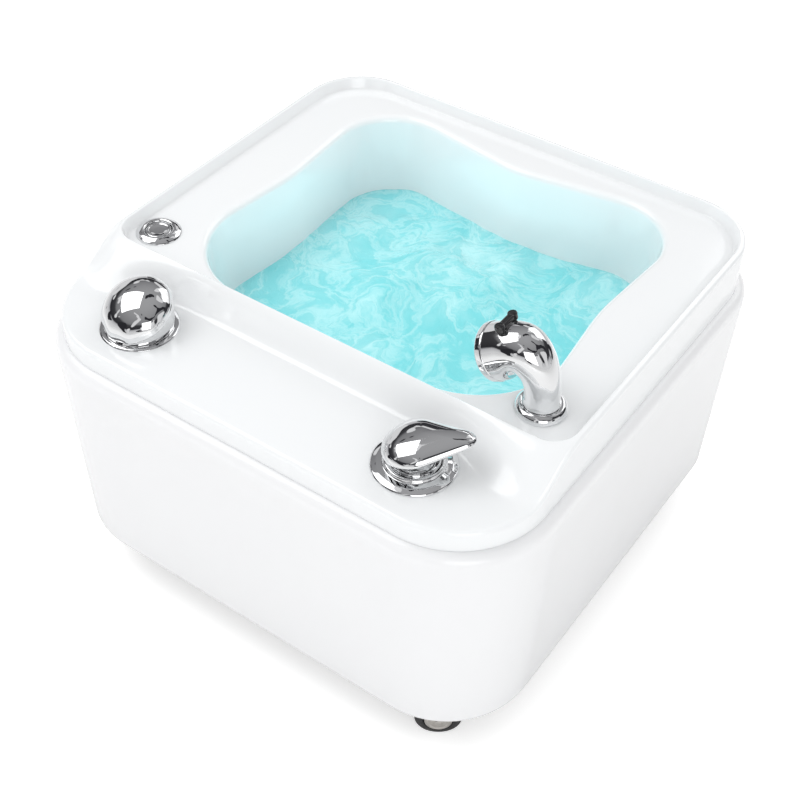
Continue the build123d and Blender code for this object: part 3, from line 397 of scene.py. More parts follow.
# ---------------------------------------------------------------- tub
@dataclass
class Tub:
    """The acrylic moulding: deck, ramp, bead, sunken tray and lobed basin in one skin."""

    wall: float = 4.0
    seam_z: float = 315.0
    deck_z: float = 339.0
    bead_round: float = 5.0
    bead_crest_in: float = 6.0
    bead_fall: float = 6.6
    tray_drop: float = 13.0
    front_bead_y: float = -149.0
    ramp_run: float = 24.0
    side_ramp_run: float = 62.0
    front_radius: float = 97.0
    back_radius: float = 74.0
    tray_radius: float = 28.0
    draft_deg: float = 4.1
    lip_round: float = 8.0
    floor_round: float = 26.0
    drain_radius: float = 22.5
    drain_y: float = 50.0

    def __post_init__(self) -> None:
        """Take the overall sizes from the frame's tub and lay out the plan outlines."""
        low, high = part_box("tub_shell")
        self.half_width = high.x / MM
        self.half_depth = high.y / MM
        self.rim_z = high.z / MM
        self.tray_z = self.rim_z - self.tray_drop
        self.floor_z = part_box("drain_nut")[1].z / MM + 4.5
        self.spokes = Spokes((0.0, self.drain_y), 480)
        w, d = self.half_width, self.half_depth
        self.rim_outline = outline([
            Corner(-w, -d, self.front_radius), Corner(w, -d, self.front_radius),
            Corner(w, d, self.back_radius), Corner(-w, d, self.back_radius)])
        w -= self.bead_crest_in
        d -= self.bead_crest_in
        self.crest_outline = outline([
            Corner(-w, self.front_bead_y, self.tray_radius),
            Corner(w, self.front_bead_y, self.tray_radius),
            Corner(w, d, self.back_radius - self.bead_crest_in),
            Corner(-w, d, self.back_radius - self.bead_crest_in)])
        front, back = self.front_bead_y + 15.0, self.half_depth - 28.0
        middle = (front + back) / 2
        self.basin_outline = outline([
            Corner(-217, front, 95), Corner(217, front, 95), Corner(196, middle, 260),
            Corner(210, back, 70), Corner(0, back - 34, 130), Corner(-210, back, 70),
            Corner(-196, middle, 260)])

    def wall_in(self, height: float) -> float:
        """Return how far the drafted basin wall has come in at a height."""
        return (self.tray_z - height) * math.tan(math.radians(self.draft_deg))

    def outside_crest(self, ring: np.ndarray) -> np.ndarray:
        """Measure how far points lie outside the bead's crest line in plan."""
        crest_half = np.array([self.half_width - self.bead_crest_in,
                               (self.half_depth - self.bead_crest_in - self.front_bead_y) / 2])
        centre_y = (self.half_depth - self.bead_crest_in + self.front_bead_y) / 2
        offset = ring[:, :2] - np.array([0.0, centre_y])
        radius = np.where(offset[:, 1] < 0, self.tray_radius,
                          self.back_radius - self.bead_crest_in)
        q = np.abs(offset) - crest_half + radius[:, None]
        outside = np.linalg.norm(np.maximum(q, 0), axis=1)
        return outside + np.minimum(q.max(axis=1), 0) - radius

    def top_height(self, ring: np.ndarray) -> np.ndarray:
        """Work out the moulding's height from the crest outward: bead, ramp, then deck."""
        run = self.ramp_run + (self.side_ramp_run - self.ramp_run) * smooth_step(
            (np.abs(ring[:, 0]) - 150.0) / 110.0)
        slope = np.clip(self.outside_crest(ring) / run, 0, 1)
        eased = smooth_step(slope ** 0.85)
        return self.rim_z - (self.rim_z - self.deck_z) * eased

    def rings(self) -> list[np.ndarray]:
        """Lay the skin's rings from the seam, over the rim and down to the drain.

        Returns:
            Rings of points in millimetres, from the outside in.
        """
        spokes, rings = self.spokes, []
        rim = spokes.reach(self.rim_outline)
        for inset, height in ((1.2, self.seam_z), (0.3, self.seam_z + 0.4),
                              (0, self.seam_z + 1.4)):
            rings.append(spokes.ring(rim - inset, height))
        edge = self.top_height(spokes.ring(rim - self.bead_round, 0.0))
        for share in np.linspace(0.15, 1, 5):
            rings.append(spokes.ring(rim, self.seam_z + 1.4
                                     + (edge - self.bead_round - self.seam_z - 1.4) * share))
        for turn in np.linspace(0, math.pi / 2, 8)[1:]:
            rings.append(spokes.ring(rim - self.bead_round * (1 - math.cos(turn)),
                                     edge - self.bead_round * (1 - math.sin(turn))))
        crest = spokes.reach(self.crest_outline)
        for share in np.linspace(0, 1, 34)[1:]:
            reach = (rim - self.bead_round) * (1 - share) + crest * share
            flat = spokes.ring(reach, 0.0)
            rings.append(spokes.ring(reach, self.top_height(flat)))
        for share in np.linspace(0, 1, 11)[1:]:
            inner = spokes.reach(grown(self.crest_outline, -self.bead_fall * share))
            rings.append(spokes.ring(inner, self.rim_z - self.tray_drop * smooth_step(share)))
        lip = np.minimum(spokes.reach(grown(self.basin_outline, self.lip_round)), inner - 0.4)
        for share in np.linspace(0, 1, 9)[1:]:
            rings.append(spokes.ring(inner * (1 - share) + lip * share, self.tray_z))
        for turn in np.linspace(0, math.pi / 2, 9)[1:]:
            reach = spokes.reach(grown(self.basin_outline, self.lip_round * (1 - math.sin(turn))))
            rings.append(spokes.ring(np.minimum(reach, lip),
                                     self.tray_z - self.lip_round * (1 - math.cos(turn))))
        top, foot = self.tray_z - self.lip_round, self.floor_z + self.floor_round
        for height in np.linspace(top, foot, 13)[1:]:
            rings.append(spokes.ring(spokes.reach(grown(self.basin_outline,
                                                        -self.wall_in(height))),
                                     height))
        for turn in np.linspace(0, math.pi / 2, 10)[1:]:
            shift = self.wall_in(foot) + self.floor_round * (1 - math.cos(turn))
            last = spokes.reach(grown(self.basin_outline, -shift))
            rings.append(spokes.ring(last, foot - self.floor_round * math.sin(turn)))
        for share in np.linspace(0, 1, 13)[1:]:
            rings.append(spokes.ring(last * (1 - share) + self.drain_radius * share, self.floor_z))
        return rings

    def build(self, paint: "PaintShop") -> None:
        """Make the shell, thicken it inward and dress it in acrylic."""
        shell = skin("tub_moulding", self.rings())
        thick = shell.modifiers.new("wall", "SOLIDIFY")
        thick.thickness = self.wall * MM
        thick.offset = -1.0
        apply_modifiers(shell)
        place_piece(shell, "basin", paint.material(Finish.ACRYLIC), ["tub_shell"])


@dataclass
class Skirt:
    """The outer casing with its rounded shoulder, and the opening at the back."""

    shoulder_drop: float = 17.0
    shoulder_out: float = 10.8
    bottom_out: float = 3.0
    shoulder_round: float = 12.5
    bottom_round: float = 6.0
    ledge_in: float = 21.5
    wall: float = 3.8
    opening_half: float = 124.0
    opening_top: float = 156.0
    opening_round: float = 10.0

    def __post_init__(self) -> None:
        """Take the skirt's heights from the frame."""
        low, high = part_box("skirt_shell")
        self.bottom_z, self.top_z = low.z / MM, high.z / MM
        self.half_depth = high.y / MM

    def profile(self) -> list[Point2]:
        """Trace the wall's section as (growth from the rim outline, height) points.

        Returns:
            The closed section, from the inner foot outward.
        """
        out, bottom, top = self.shoulder_out, self.bottom_z, self.top_z
        shoulder = self.shoulder_round
        shoulder_z = top - self.shoulder_drop
        points = [(self.bottom_out - self.wall, bottom + 1.0),
                  (self.bottom_out - self.wall + 1, bottom)]
        for turn in np.linspace(0, math.pi / 2, 6):
            points.append((self.bottom_out - self.bottom_round * 0.4 * (1 - math.sin(turn)),
                           bottom + self.bottom_round * (1 - math.cos(turn))))
        foot_z = bottom + self.bottom_round
        for share in np.linspace(0, 1, 9)[1:]:
            points.append((self.bottom_out + (out - self.bottom_out) * share,
                           foot_z + (shoulder_z - foot_z) * share))
        for turn in np.linspace(0, math.pi / 2, 11):
            points.append((out - shoulder * (1 - math.cos(turn)),
                           top - shoulder * (1 - math.sin(turn))))
        points += [(-6.0, top), (-self.ledge_in + 0.8, top), (-self.ledge_in, top - 0.8),
                   (-self.ledge_in, top - self.wall), (-6.0, top - self.wall)]
        points += [(out - self.wall - 6, top - self.wall - 1), (out - self.wall, shoulder_z)]
        return points

    def build(self, paint: "PaintShop", rim: np.ndarray) -> None:
        """Make the casing and cut its rear opening.

        Args:
            paint: where its finish comes from.
            rim: the tub's rim outline, which the casing follows.
        """
        spokes = Spokes((0.0, 0.0), 360)
        rings = [spokes.ring(spokes.reach(grown(rim, grow)), height)
                 for grow, height in self.profile()]
        casing = skin("skirt_casing", rings, closed=True)
        low, high = self.bottom_z - 20, self.opening_top
        corners = [Corner(-self.opening_half, low, 2), Corner(self.opening_half, low, 2),
                   Corner(self.opening_half, high, self.opening_round),
                   Corner(-self.opening_half, high, self.opening_round)]
        trace = outline(corners, 8)
        rings = [np.stack([trace[:, 0], np.full(len(trace), y), trace[:, 1]], axis=1)
                 for y in (self.half_depth - 40, self.half_depth + 20)]
        cutter = skin("cutter", [rings[0].mean(0)[None, :], *rings, rings[1].mean(0)[None, :]])
        cut = casing.modifiers.new("opening", "BOOLEAN")
        cut.object, cut.operation, cut.solver = cutter, "DIFFERENCE", "EXACT"
        apply_modifiers(casing)
        bpy.data.objects.remove(cutter)
        place_piece(casing, "basin", paint.material(Finish.SKIRT), ["skirt_shell"])


# ---------------------------------------------------------------- castors
@dataclass
class Castor:
    """One twin-wheel castor: rounded treads and spun hub caps."""

    name: str
    wheel_radius: float = 25.0
    inner: float = 5.5
    outer: float = 19.5
    hub_radius: float = 14.7
    axle_radius: float = 3.95
    face_angle_deg: float = 34.0

    def axis(self) -> Vector:
        """Return the axle's direction."""
        turn = math.radians(self.face_angle_deg)
        return Vector((math.sin(turn), -math.cos(turn), 0))

    def tread(self, side: int) -> bpy.types.Object:
        """Make one wheel with its rounded tread and a groove."""
        r, a, b = self.wheel_radius, self.inner + 0.2, self.outer
        profile = [(self.axle_radius + 0.1, a), (r - 3, a), (r - 0.6, a + 1.6), (r, a + 3.4),
                   (r, a + 6.2), (r - 0.7, a + 6.8), (r, a + 7.4), (r - 0.3, b - 3.6),
                   (r - 1.8, b - 1.4),
                   (r - 5, b - 0.2), (r - 8.6, b), (r - 9.6, b - 1.2), (r - 9.8, b - 3),
                   (4.1, b - 3)]
        return turned("wheel", [(radius, side * along) for radius, along in profile],
                      node_centre(f"castor_axle_{self.name}"), self.axis(), 0.5, 64)

    def cap(self, side: int) -> bpy.types.Object:
        """Make one hub cap, dished like a spun lid."""
        b, r = self.outer, self.hub_radius
        profile = [(0, b - 3), (r - 0.3, b - 3), (r, b - 0.4), (r - 0.4, b + 1.0),
                   (r - 2.4, b + 2.6),
                   (r - 4.4, b + 3.0), (r - 5.2, b + 2.4), (4.2, b + 2.8), (3.4, b + 3.9),
                   (0, b + 4.0)]
        return turned("cap", [(radius, side * along) for radius, along in profile],
                      node_centre(f"castor_axle_{self.name}"), self.axis(), 0.5, 64)

    def build(self, paint: "PaintShop") -> None:
        """Make the castor's wheels and its capped axle."""
        body = f"castor_wheels_{self.name}_body"
        treads = joined(f"castor_treads_{self.name}", [self.tread(1), self.tread(-1)])
        place_piece(treads, body, paint.material(Finish.TREAD),
                    [f"castor_wheels_{self.name}"])
        axle = turned("axle", [(0, -self.outer + 3.2), (self.axle_radius, -self.outer + 3.2),
                               (self.axle_radius, self.outer - 3.2), (0, self.outer - 3.2)],
                      node_centre(f"castor_axle_{self.name}"), self.axis(), 0.2, 24)
        caps = joined(f"castor_caps_{self.name}", [axle, self.cap(1), self.cap(-1)])
        place_piece(caps, body, paint.material(Finish.HUB),
                    [f"castor_axle_{self.name}"])


# ---------------------------------------------------------------- mixer and diverter
@dataclass
class Mixer:
    """Single-lever mixer: stepped cover plate and a domed teardrop lever."""

    plate_radius: float = 41.0
    heel_radius: float = 31.0
    tip_radius: float = 11.0
    reach: float = 46.0
    angle_deg: float = 26.0
    tilt_deg: float = 15.0
    lift: float = 24.0
    dome: float = 13.5
    roof: float = 9.0

    def teardrop(self, steps: int = 30) -> np.ndarray:
        """Trace the lever's outline in its own plane: two arcs and their tangents."""
        lean = math.acos((self.heel_radius - self.tip_radius) / self.reach)
        tip = [(self.reach + self.tip_radius * math.cos(a), self.tip_radius * math.sin(a))
               for a in np.linspace(-lean, lean, steps)]
        heel = [(self.heel_radius * math.cos(a), self.heel_radius * math.sin(a))
                for a in np.linspace(lean, 2 * math.pi - lean, 2 * steps)]
        side = [tuple((1 - t) * np.array(heel[-1]) + t * np.array(tip[0]))
                for t in (0.25, 0.5, 0.75)]
        return np.array(heel + side + tip + [(p[0], -p[1]) for p in reversed(side)])

    def lever(self) -> bpy.types.Object:
        """Make the lever: a thin rolled edge, a domed top and a hollow underside.

        Returns:
            The lever, in the row frame.
        """
        edge = self.teardrop()
        centre = np.array([9.0, 0.0])
        sections = [(0.0, self.roof), (0.5, self.roof), (0.74, 6.4), (0.84, 2.6), (0.90, 0.6),
                    (0.955, 0.0), (0.985, 0.35), (1.0, 1.3), (1.0, 2.3), (0.99, 3.1)]
        sections += [(s, None) for s in (0.97, 0.94, 0.9, 0.84, 0.76, 0.66, 0.54, 0.4, 0.26, 0.12,
                                         0.0)]
        rings = []
        for scale, height in sections:
            flat = centre + (edge - centre) * scale if scale > 0 else centre[None, :]
            if height is None:
                lean = 1.0 + 0.22 * np.clip(flat[:, 0] / self.reach, -0.4, 1)
                dome = math.sqrt(max(0.0, 1 - (scale / 0.99) ** 2)) ** 1.25
                height = 3.1 + self.dome * dome / lean
            rings.append(self.to_frame(flat, height))
        return skin("mixer_lever_shell", rings, sharp_deg=60)

    def to_frame(self, flat: np.ndarray, height: np.ndarray | float) -> np.ndarray:
        """Move points from the lever's own plane into the row frame."""
        turn, slope = math.radians(self.angle_deg), math.radians(self.tilt_deg)
        along = np.array([math.cos(turn) * math.cos(slope), math.sin(turn) * math.cos(slope),
                          math.sin(slope)])
        across = np.array([-math.sin(turn), math.cos(turn), 0.0])
        up = np.cross(along, across)
        origin = np.array([*self.place()[:2], self.deck_z() + self.lift])
        height = np.broadcast_to(height, (len(flat),))
        return origin + flat[:, :1] * along + flat[:, 1:] * across + height[:, None] * up

    def place(self) -> np.ndarray:
        """Return the middle of the mixer's cover plate."""
        return node_centre("mixer_escutcheon")

    def deck_z(self) -> float:
        """Return the deck's height, where the cover plate rests."""
        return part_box("mixer_escutcheon")[0].z / MM

    def build(self, paint: "PaintShop") -> None:
        """Make the cover plate and the lever in chrome."""
        x, y, _ = self.place()
        foot = (x, y, self.deck_z())
        r = self.plate_radius
        plate = [(18.8, 0), (r, 0), (r, 1.4), (r - 1.0, 2.7), (r - 6, 4.3), (r - 11.2, 4.9),
                 (r - 12.2, 5.8), (r - 12.8, 7.6), (r - 14.4, 8.4), (r - 16.6, 8.2),
                 (r - 18.2, 6.9),
                 (r - 20.5, 6.5), (18.8, 6.5)]
        place_piece(turned("mixer_plate", plate, foot, (0, 0, 1), 0.9, 96), "basin",
                    paint.material(Finish.CHROME), ["mixer_escutcheon"])
        place_piece(self.lever(), "mixer_lever_body", paint.material(Finish.CHROME),
                    ["mixer_lever"])


@dataclass
class Diverter:
    """Diverter knob: a slanted, domed disc with a scalloped edge over a plain drum."""

    disc_radius: float = 39.0
    drum_radius: float = 35.3
    tilt_deg: float = 25.0
    lift: float = 20.0
    dome: float = 24.5
    high_side_deg: float = 78.0
    scallops: int = 9
    scallop_depth: float = 0.55
    steps: int = 180

    def disc_ring(self, radius: float, rise: float, scallop: float = 0.0) -> np.ndarray:
        """Place a ring of the disc in its slanted plane.

        Args:
            radius: the ring's radius.
            rise: its height above the slanted plane.
            scallop: depth of the edge's waves.

        Returns:
            Points in the row frame.
        """
        turn = np.linspace(0, 2 * math.pi, self.steps, endpoint=False)
        low_side = np.clip(-np.cos(turn), 0, 1) ** 2
        reach = radius - scallop * (0.35 + low_side) * (1 + np.cos(self.scallops * turn))
        high, slope = math.radians(self.high_side_deg), math.radians(self.tilt_deg)
        along = np.array([math.cos(high) * math.cos(slope), math.sin(high) * math.cos(slope),
                          math.sin(slope)])
        across = np.array([-math.sin(high), math.cos(high), 0.0])
        up = np.cross(along, across)
        x, y, _ = node_centre("diverter_escutcheon")
        origin = np.array([x, y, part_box("diverter_escutcheon")[0].z / MM + self.lift])
        return (origin + np.outer(reach * np.cos(turn), along)
                + np.outer(reach * np.sin(turn), across)
                + up * rise)

    def build(self, paint: "PaintShop") -> None:
        """Make the knob and the plate under it in chrome."""
        x, y, _ = node_centre("diverter_escutcheon")
        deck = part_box("diverter_escutcheon")[0].z / MM
        turn = (np.linspace(0, 2 * math.pi, self.steps, endpoint=False)
                + math.radians(self.high_side_deg))
        foot = np.stack([x + np.cos(turn) * self.drum_radius, y + np.sin(turn) * self.drum_radius,
                         np.full(self.steps, deck + 2.85)], axis=1)
        rings = [np.array([[x, y, deck + 2.85]]), foot * [1, 1, 1]]
        under = self.disc_ring(self.disc_radius - 1.6, -0.6)
        for share in (0.08, 0.5, 0.92, 1.0):
            rings.append(foot * (1 - share) + np.maximum(under, foot) * share
                         if share < 1 else under)
        rings.append(self.disc_ring(self.disc_radius - 0.4, -0.9, self.scallop_depth))
        rings.append(self.disc_ring(self.disc_radius, -0.2, self.scallop_depth))
        rings.append(self.disc_ring(self.disc_radius, 0.8, self.scallop_depth))
        for angle in np.linspace(0, math.pi / 2, 22)[1:]:
            share = math.cos(angle)
            radius = (self.disc_radius - 0.5) * share
            if radius < 0.01:
                rings.append(self.disc_ring(0.0, 0.8 + self.dome).mean(0)[None, :])
            else:
                rings.append(self.disc_ring(radius, 0.8 + self.dome * math.sin(angle) ** 1.1,
                                            self.scallop_depth * share ** 6))
        knob = skin("diverter_cap", [np.maximum(ring, [-1e4, -1e4, deck + 2.8]) for ring in rings],
                    sharp_deg=55)
        place_piece(knob, "diverter_body", paint.material(Finish.CHROME),
                    ["diverter_knob"])
        plate = [(16.3, 0), (40.5, 0), (40.5, 0.8), (39.2, 1.9), (36.5, 2.5), (16.3, 2.5)]
        place_piece(turned("diverter_plate", plate, (x, y, deck), (0, 0, 1), 0.5, 96), "basin",
                    paint.material(Finish.CHROME), ["diverter_escutcheon"])


@dataclass
class AirButton:
    """Air switch: a wide rolled bezel round a dished push button."""

    bezel_radius: float = 24.4
    plunger_radius: float = 14.1
    coil_radius: float = 9.0
    wire_radius: float = 0.78
    travel: float = 4.0

    def spring(self, paint: "PaintShop", turns: int = 5) -> None:
        """Make the return spring under the button.

        Args:
            paint: where its finish comes from.
            turns: how many times the wire goes round.
        """
        low, high = (np.array(corner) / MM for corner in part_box("air_button_spring"))
        centre, wire = (low + high) / 2, self.wire_radius
        pitch = (high[2] - low[2] - 2 * wire) / turns
        steepness = pitch / (2 * math.pi * self.coil_radius)
        around = np.linspace(0, 2 * math.pi, 12, endpoint=False)
        rings = []
        for angle in np.linspace(0, 2 * math.pi * turns, 48 * turns):
            outward = np.array([math.cos(angle), math.sin(angle), 0.0])
            along = np.array([-outward[1], outward[0], steepness])
            upward = np.cross(outward, along / np.linalg.norm(along))
            rise = low[2] + wire + pitch * angle / (2 * math.pi)
            middle = np.array([*centre[:2], rise]) + self.coil_radius * outward
            rings.append(middle + wire * (np.outer(np.cos(around), outward)
                                          + np.outer(np.sin(around), upward)))
        rings = [rings[0].mean(0)[None, :], *rings, rings[-1].mean(0)[None, :]]
        coil = place_piece(skin("air_button_coil", rings, sharp_deg=50), "basin",
                           paint.material(Finish.BRUSHED), ["air_button_spring"])
        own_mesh(coil)

    def build(self, paint: "PaintShop") -> None:
        """Make the bezel and the button in chrome, and the spring under the button."""
        self.spring(paint)
        x, y, _ = node_centre("air_button_bezel")
        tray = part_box("air_button_bezel")[0].z / MM
        r, p = self.bezel_radius, self.plunger_radius
        bezel = [(p + 0.35, 0), (r, 0), (r, 0.7), (r - 0.9, 2.0), (r - 3.4, 3.9), (r - 6.2, 5.1),
                 (r - 7.6, 5.4), (p + 1.2, 4.7), (p + 0.4, 3.6)]
        place_piece(turned("air_bezel_ring", bezel, (x, y, tray), (0, 0, 1), 0.8, 80), "basin",
                    paint.material(Finish.CHROME), ["air_button_bezel"])
        button = [(0, -16), (p, -16), (p, 2.2), (p - 0.9, 3.6), (p - 2.6, 3.9), (p - 4.0, 3.1),
                  (p - 8, 2.5), (0, 2.3)]
        place_piece(turned("air_button_cap", button, (x, y, tray), (0, 0, 1), 0.7, 64),
                    "air_button",
                    paint.material(Finish.CHROME), ["air_button_plunger"])


# ---------------------------------------------------------------- hand spray
@dataclass(frozen=True)
class Station:
    """One section of the spray head: where it is, how it leans, and its radius."""

    forward: float
    rise: float
    lean_deg: float
    radius: float


@dataclass
class HandSpray:
    """Hand spray parked in its ring: hooked head, banded face and black selector."""

    ring_radius: float = 25.6
    face_radius: float = 28.5
    face_fall_deg: float = 33.0
    selector_forward: float = 43.5
    selector_rise: float = 78.2
    selector_lean_deg: float = 15.0
    stations: tuple[Station, ...] = (
        Station(0, 8.3, 0, 17.7), Station(0, 9.2, 0, 18.2), Station(0, 11.6, 0, 17.6),
        Station(0, 15, 0, 17.2), Station(0.6, 23, 4, 17.2), Station(2.2, 32, 11, 17.7),
        Station(5.6, 42, 24, 19.0), Station(11, 51, 40, 21.0), Station(18, 57.5, 60, 23.0),
        Station(25.4, 59.2, 80, 24.8), Station(32.8, 56.2, 100, 26.2),
        Station(39.6, 51.6, 118, 27.2),
        Station(46.6, 46.6, 123, 28.2))

    def frame_of(self, station: Station) -> tuple[np.ndarray, np.ndarray, np.ndarray, np.ndarray]:
        """Return a station's centre, its two cross directions and its forward direction."""
        x, y, _ = node_centre("spray_shank")
        tray = self.tray_z()
        lean = math.radians(station.lean_deg)
        centre = np.array([x - station.forward, y, tray + station.rise])
        forward = np.array([-math.sin(lean), 0.0, math.cos(lean)])
        across = np.array([0.0, 1.0, 0.0])
        return centre, across, np.cross(forward, across), forward

    def tray_z(self) -> float:
        """Return the tray's height, where the ring rests."""
        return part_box("spray_holder")[1].z / MM - 8.0

    def between(self, values: Sequence[float], place: float) -> float:
        """Blend a station value smoothly along the head (Catmull-Rom)."""
        i = min(int(place), len(values) - 2)
        t = place - i
        p0, p1 = values[max(i - 1, 0)], values[i]
        p2, p3 = values[i + 1], values[min(i + 2, len(values) - 1)]
        return 0.5 * (2 * p1 + (p2 - p0) * t + (2 * p0 - 5 * p1 + 4 * p2 - p3) * t * t
                      + (3 * p1 - p0 - 3 * p2 + p3) * t ** 3)

    def head(self, steps: int = 72) -> bpy.types.Object:
        """Make the hooked head, closed at the neck and behind the face."""
        turn = np.linspace(0, 2 * math.pi, steps, endpoint=False)
        columns = [[getattr(s, key) for s in self.stations]
                   for key in ("forward", "rise", "lean_deg", "radius")]
        rings = []
        for place in np.linspace(0, len(self.stations) - 1, 78):
            station = Station(*(self.between(column, place) for column in columns))
            centre, across, third, _ = self.frame_of(station)
            rings.append(centre + station.radius * (np.outer(np.cos(turn), across)
                                                    + np.outer(np.sin(turn), third)))
        rings = [rings[0].mean(0)[None, :], *rings, rings[-1].mean(0)[None, :]]
        return skin("spray_head_shell", rings, sharp_deg=50)

    def selector(self) -> bpy.types.Object:
        """Make the black two-lobed selector: two turned rollers on a bridge."""
        centre, across, third, up = self.frame_of(
            Station(self.selector_forward, self.selector_rise, self.selector_lean_deg, 0))
        parts = []
        for side in (-1, 1):
            lobe = [(0, -0.4), (3.6, -0.4), (4.6, 0.6), (4.8, 6.4), (4.0, 7.7), (0, 8.0)]
            parts.append(turned("lobe", lobe, centre + across * 11 * side, up, 0.8, 40))
        bridge = outline([Corner(-12, -3.4, 2.4), Corner(12, -3.4, 2.4), Corner(12, 3.4, 2.4),
                          Corner(-12, 3.4, 2.4)], 5)
        rings = []
        for shrink, rise in ((0.9, 0.9), (0, 1.7), (0, 5.5), (0.5, 6.4), (1.3, 6.8)):
            flat = grown(bridge, -shrink)
            rings.append(centre + flat[:, :1] * across + flat[:, 1:] * third + up * rise)
        parts.append(skin("bridge", [rings[0].mean(0)[None, :], *rings,
                                     rings[-1].mean(0)[None, :]]))
        parts.append(turned("pin", [(0, -7.4), (3.9, -7.4), (3.9, 1.5), (0, 1.5)], centre, up, 0.3,
                            32))
        return joined("spray_selector_toggle", parts)

    def build(self, paint: "PaintShop") -> None:
        """Make the holder, the head, its face band and the selector."""
        x, y, _ = node_centre("spray_shank")
        tray, r = self.tray_z(), self.ring_radius
        ring = [(19.5, -45), (21.2, -45), (21.2, 0), (r, 0), (r, 1.4), (r - 0.5, 3.6),
                (r - 2.0, 5.9),
                (r - 3.6, 7.3), (r - 4.6, 7.9), (r - 6.0, 8.0), (11.0, 8.0), (11.0, 4.0),
                (19.5, 4.0)]
        place_piece(turned("spray_ring", ring, (x, y, tray), (0, 0, 1), 0.9, 96), "basin",
                    paint.material(Finish.CHROME), ["spray_holder"])
        place_piece(self.head(), "spray_head_body", paint.material(Finish.CHROME),
                    ["spray_head"])
        face = Station(48, 45.6, 90 + self.face_fall_deg, 0)
        centre, _, _, forward = self.frame_of(face)
        f = self.face_radius
        band = [(f - 4.2, -1.4), (f - 0.6, -1.4), (f - 0.1, -0.7), (f + 0.2, 0.3), (f + 0.3, 5.4),
                (f - 0.5, 7.2), (f - 2.2, 8.0), (f - 3.4, 7.6), (f - 4.2, 6.2)]
        place_piece(turned("spray_face_band", band, centre, forward, 0.6, 96), "spray_head_body",
                    paint.material(Finish.CHROME))
        plate = [(0, 0.4), (f - 4.3, 0.4), (f - 4.3, 6.6), (f - 6.5, 7.0), (f - 8, 6.3),
                 (f - 14, 6.6), (f - 20, 7.3), (0, 7.7)]
        discs = [turned("plate", plate, centre, forward, 0.5, 96)]
        _, across, third, _ = self.frame_of(face)
        for radius, count in ((6.5, 6), (12.0, 12), (18.0, 18)):
            for turn in np.linspace(0, 2 * math.pi, count, endpoint=False):
                spot = centre + radius * (math.cos(turn) * across + math.sin(turn) * third)
                nib = [(0, 5.6), (1.25, 5.6), (1.05, 7.8), (0.6, 8.0), (0.5, 7.2), (0, 7.2)]
                discs.append(turned("nib", nib, spot, forward, 0.15, 12))
        place_piece(joined("spray_face_plate", discs), "spray_head_body",
                    paint.material(Finish.SPRAY_FACE), ["spray_face"])
        place_piece(self.selector(), "spray_selector_body",
                    paint.material(Finish.BLACK_GLOSS), ["spray_selector"])


# ---------------------------------------------------------------- wall fittings and drain
@dataclass
class WallFittings:
    """Chrome flanges on the basin wall: the four eyeball jets."""

    flange_radius: float = 22.0
    shank_radius: float = 14.0
    shank_length: float = 30.0

    def jet(self, place: np.ndarray, outward: np.ndarray) -> bpy.types.Object:
        """Make one jet: rolled flange, eyeball nozzle and its shank behind the wall."""
        f, s, end = self.flange_radius, self.shank_radius, self.shank_length
        profile = [(0, -0.6), (4.4, -0.6), (5.0, -4.4), (7.4, -4.8), (10.4, -3.4), (12.2, -1.4),
                   (13.6, -2.6), (16.4, -3.2), (f - 2.0, -2.6), (f - 0.2, -1.0), (f, 0), (s, 0),
                   (s, end), (0, end)]
        return turned("jet", profile, place, outward, 0.6, 64)

    def build(self, paint: "PaintShop") -> None:
        """Make the jets as one node's worth of bodies, from where the frame has them."""
        node = frame["nodes"]["jet_bodies"].data
        points = np.array([v.co for v in node.vertices]) / MM
        jets = []
        for x_side, y_side in ((1, 0), (-1, 0), (1, 1), (-1, 1)):
            side_jet = y_side == 0
            near = points[(np.sign(points[:, 0]) == x_side) & ((points[:, 1] > 60) != side_jet)]
            low, high = near.min(0), near.max(0)
            middle = (low + high) / 2
            if side_jet:
                start = low[0] if x_side > 0 else high[0]
                jets.append(self.jet(np.array([start + 3 * x_side, middle[1], middle[2]]),
                                     np.array([x_side, 0, 0])))
            else:
                jets.append(self.jet(np.array([middle[0], low[1] + 3, middle[2]]),
                                     np.array([0, 1, 0])))
        place_piece(joined("water_jets", jets), "basin", paint.material(Finish.CHROME),
                    ["jet_bodies"])


# ---------------------------------------------------------------- water (contents, staged)
@dataclass
class Water:
    """Lit, churned water in the basin. It is contents, so it is staging and not a piece."""

    level: float = 262.0
    ripple: float = 3.2
    seed: int = 7

    def height(self, points: np.ndarray) -> np.ndarray:
        """Work out the surface's ripples: a churned mound behind, small waves in front.

        Args:
            points: (x, y) places in millimetres.

        Returns:
            Heights above the mean level.
        """
        rng = np.random.default_rng(self.seed)
        total = np.zeros(len(points))
        boil = np.exp(-(((points[:, 0] + 30) / 120) ** 2 + ((points[:, 1] - 95) / 85) ** 2))
        for _ in range(46):
            angle, length = rng.uniform(0, 2 * math.pi), rng.uniform(22, 120)
            way = np.array([math.cos(angle), math.sin(angle)])
            wave = np.sin(points @ way * 2 * math.pi / length + rng.uniform(0, 2 * math.pi))
            total += wave * (length / 120) ** 0.9 * (0.32 + 1.3 * boil)
        return total * self.ripple / 4.2 + 16.0 * boil

    def build(self, paint: "PaintShop", tub: Tub) -> None:
        """Make the surface inside the basin's walls.

        Args:
            paint: where its finish comes from.
            tub: the basin that holds it.
        """
        spokes = tub.spokes
        wall = spokes.reach(grown(tub.basin_outline, -tub.wall_in(self.level))) + 1.5
        rings = [np.array([[*spokes.centre, self.level]])]
        for share in np.linspace(0, 1, 120)[1:]:
            rings.append(spokes.ring(wall * share, self.level))
        for ring in rings:
            ring[:, 2] += self.height(ring[:, :2])
        surface = skin("water_surface", rings, sharp_deg=180)
        surface.data.materials.append(paint.material(Finish.WATER))


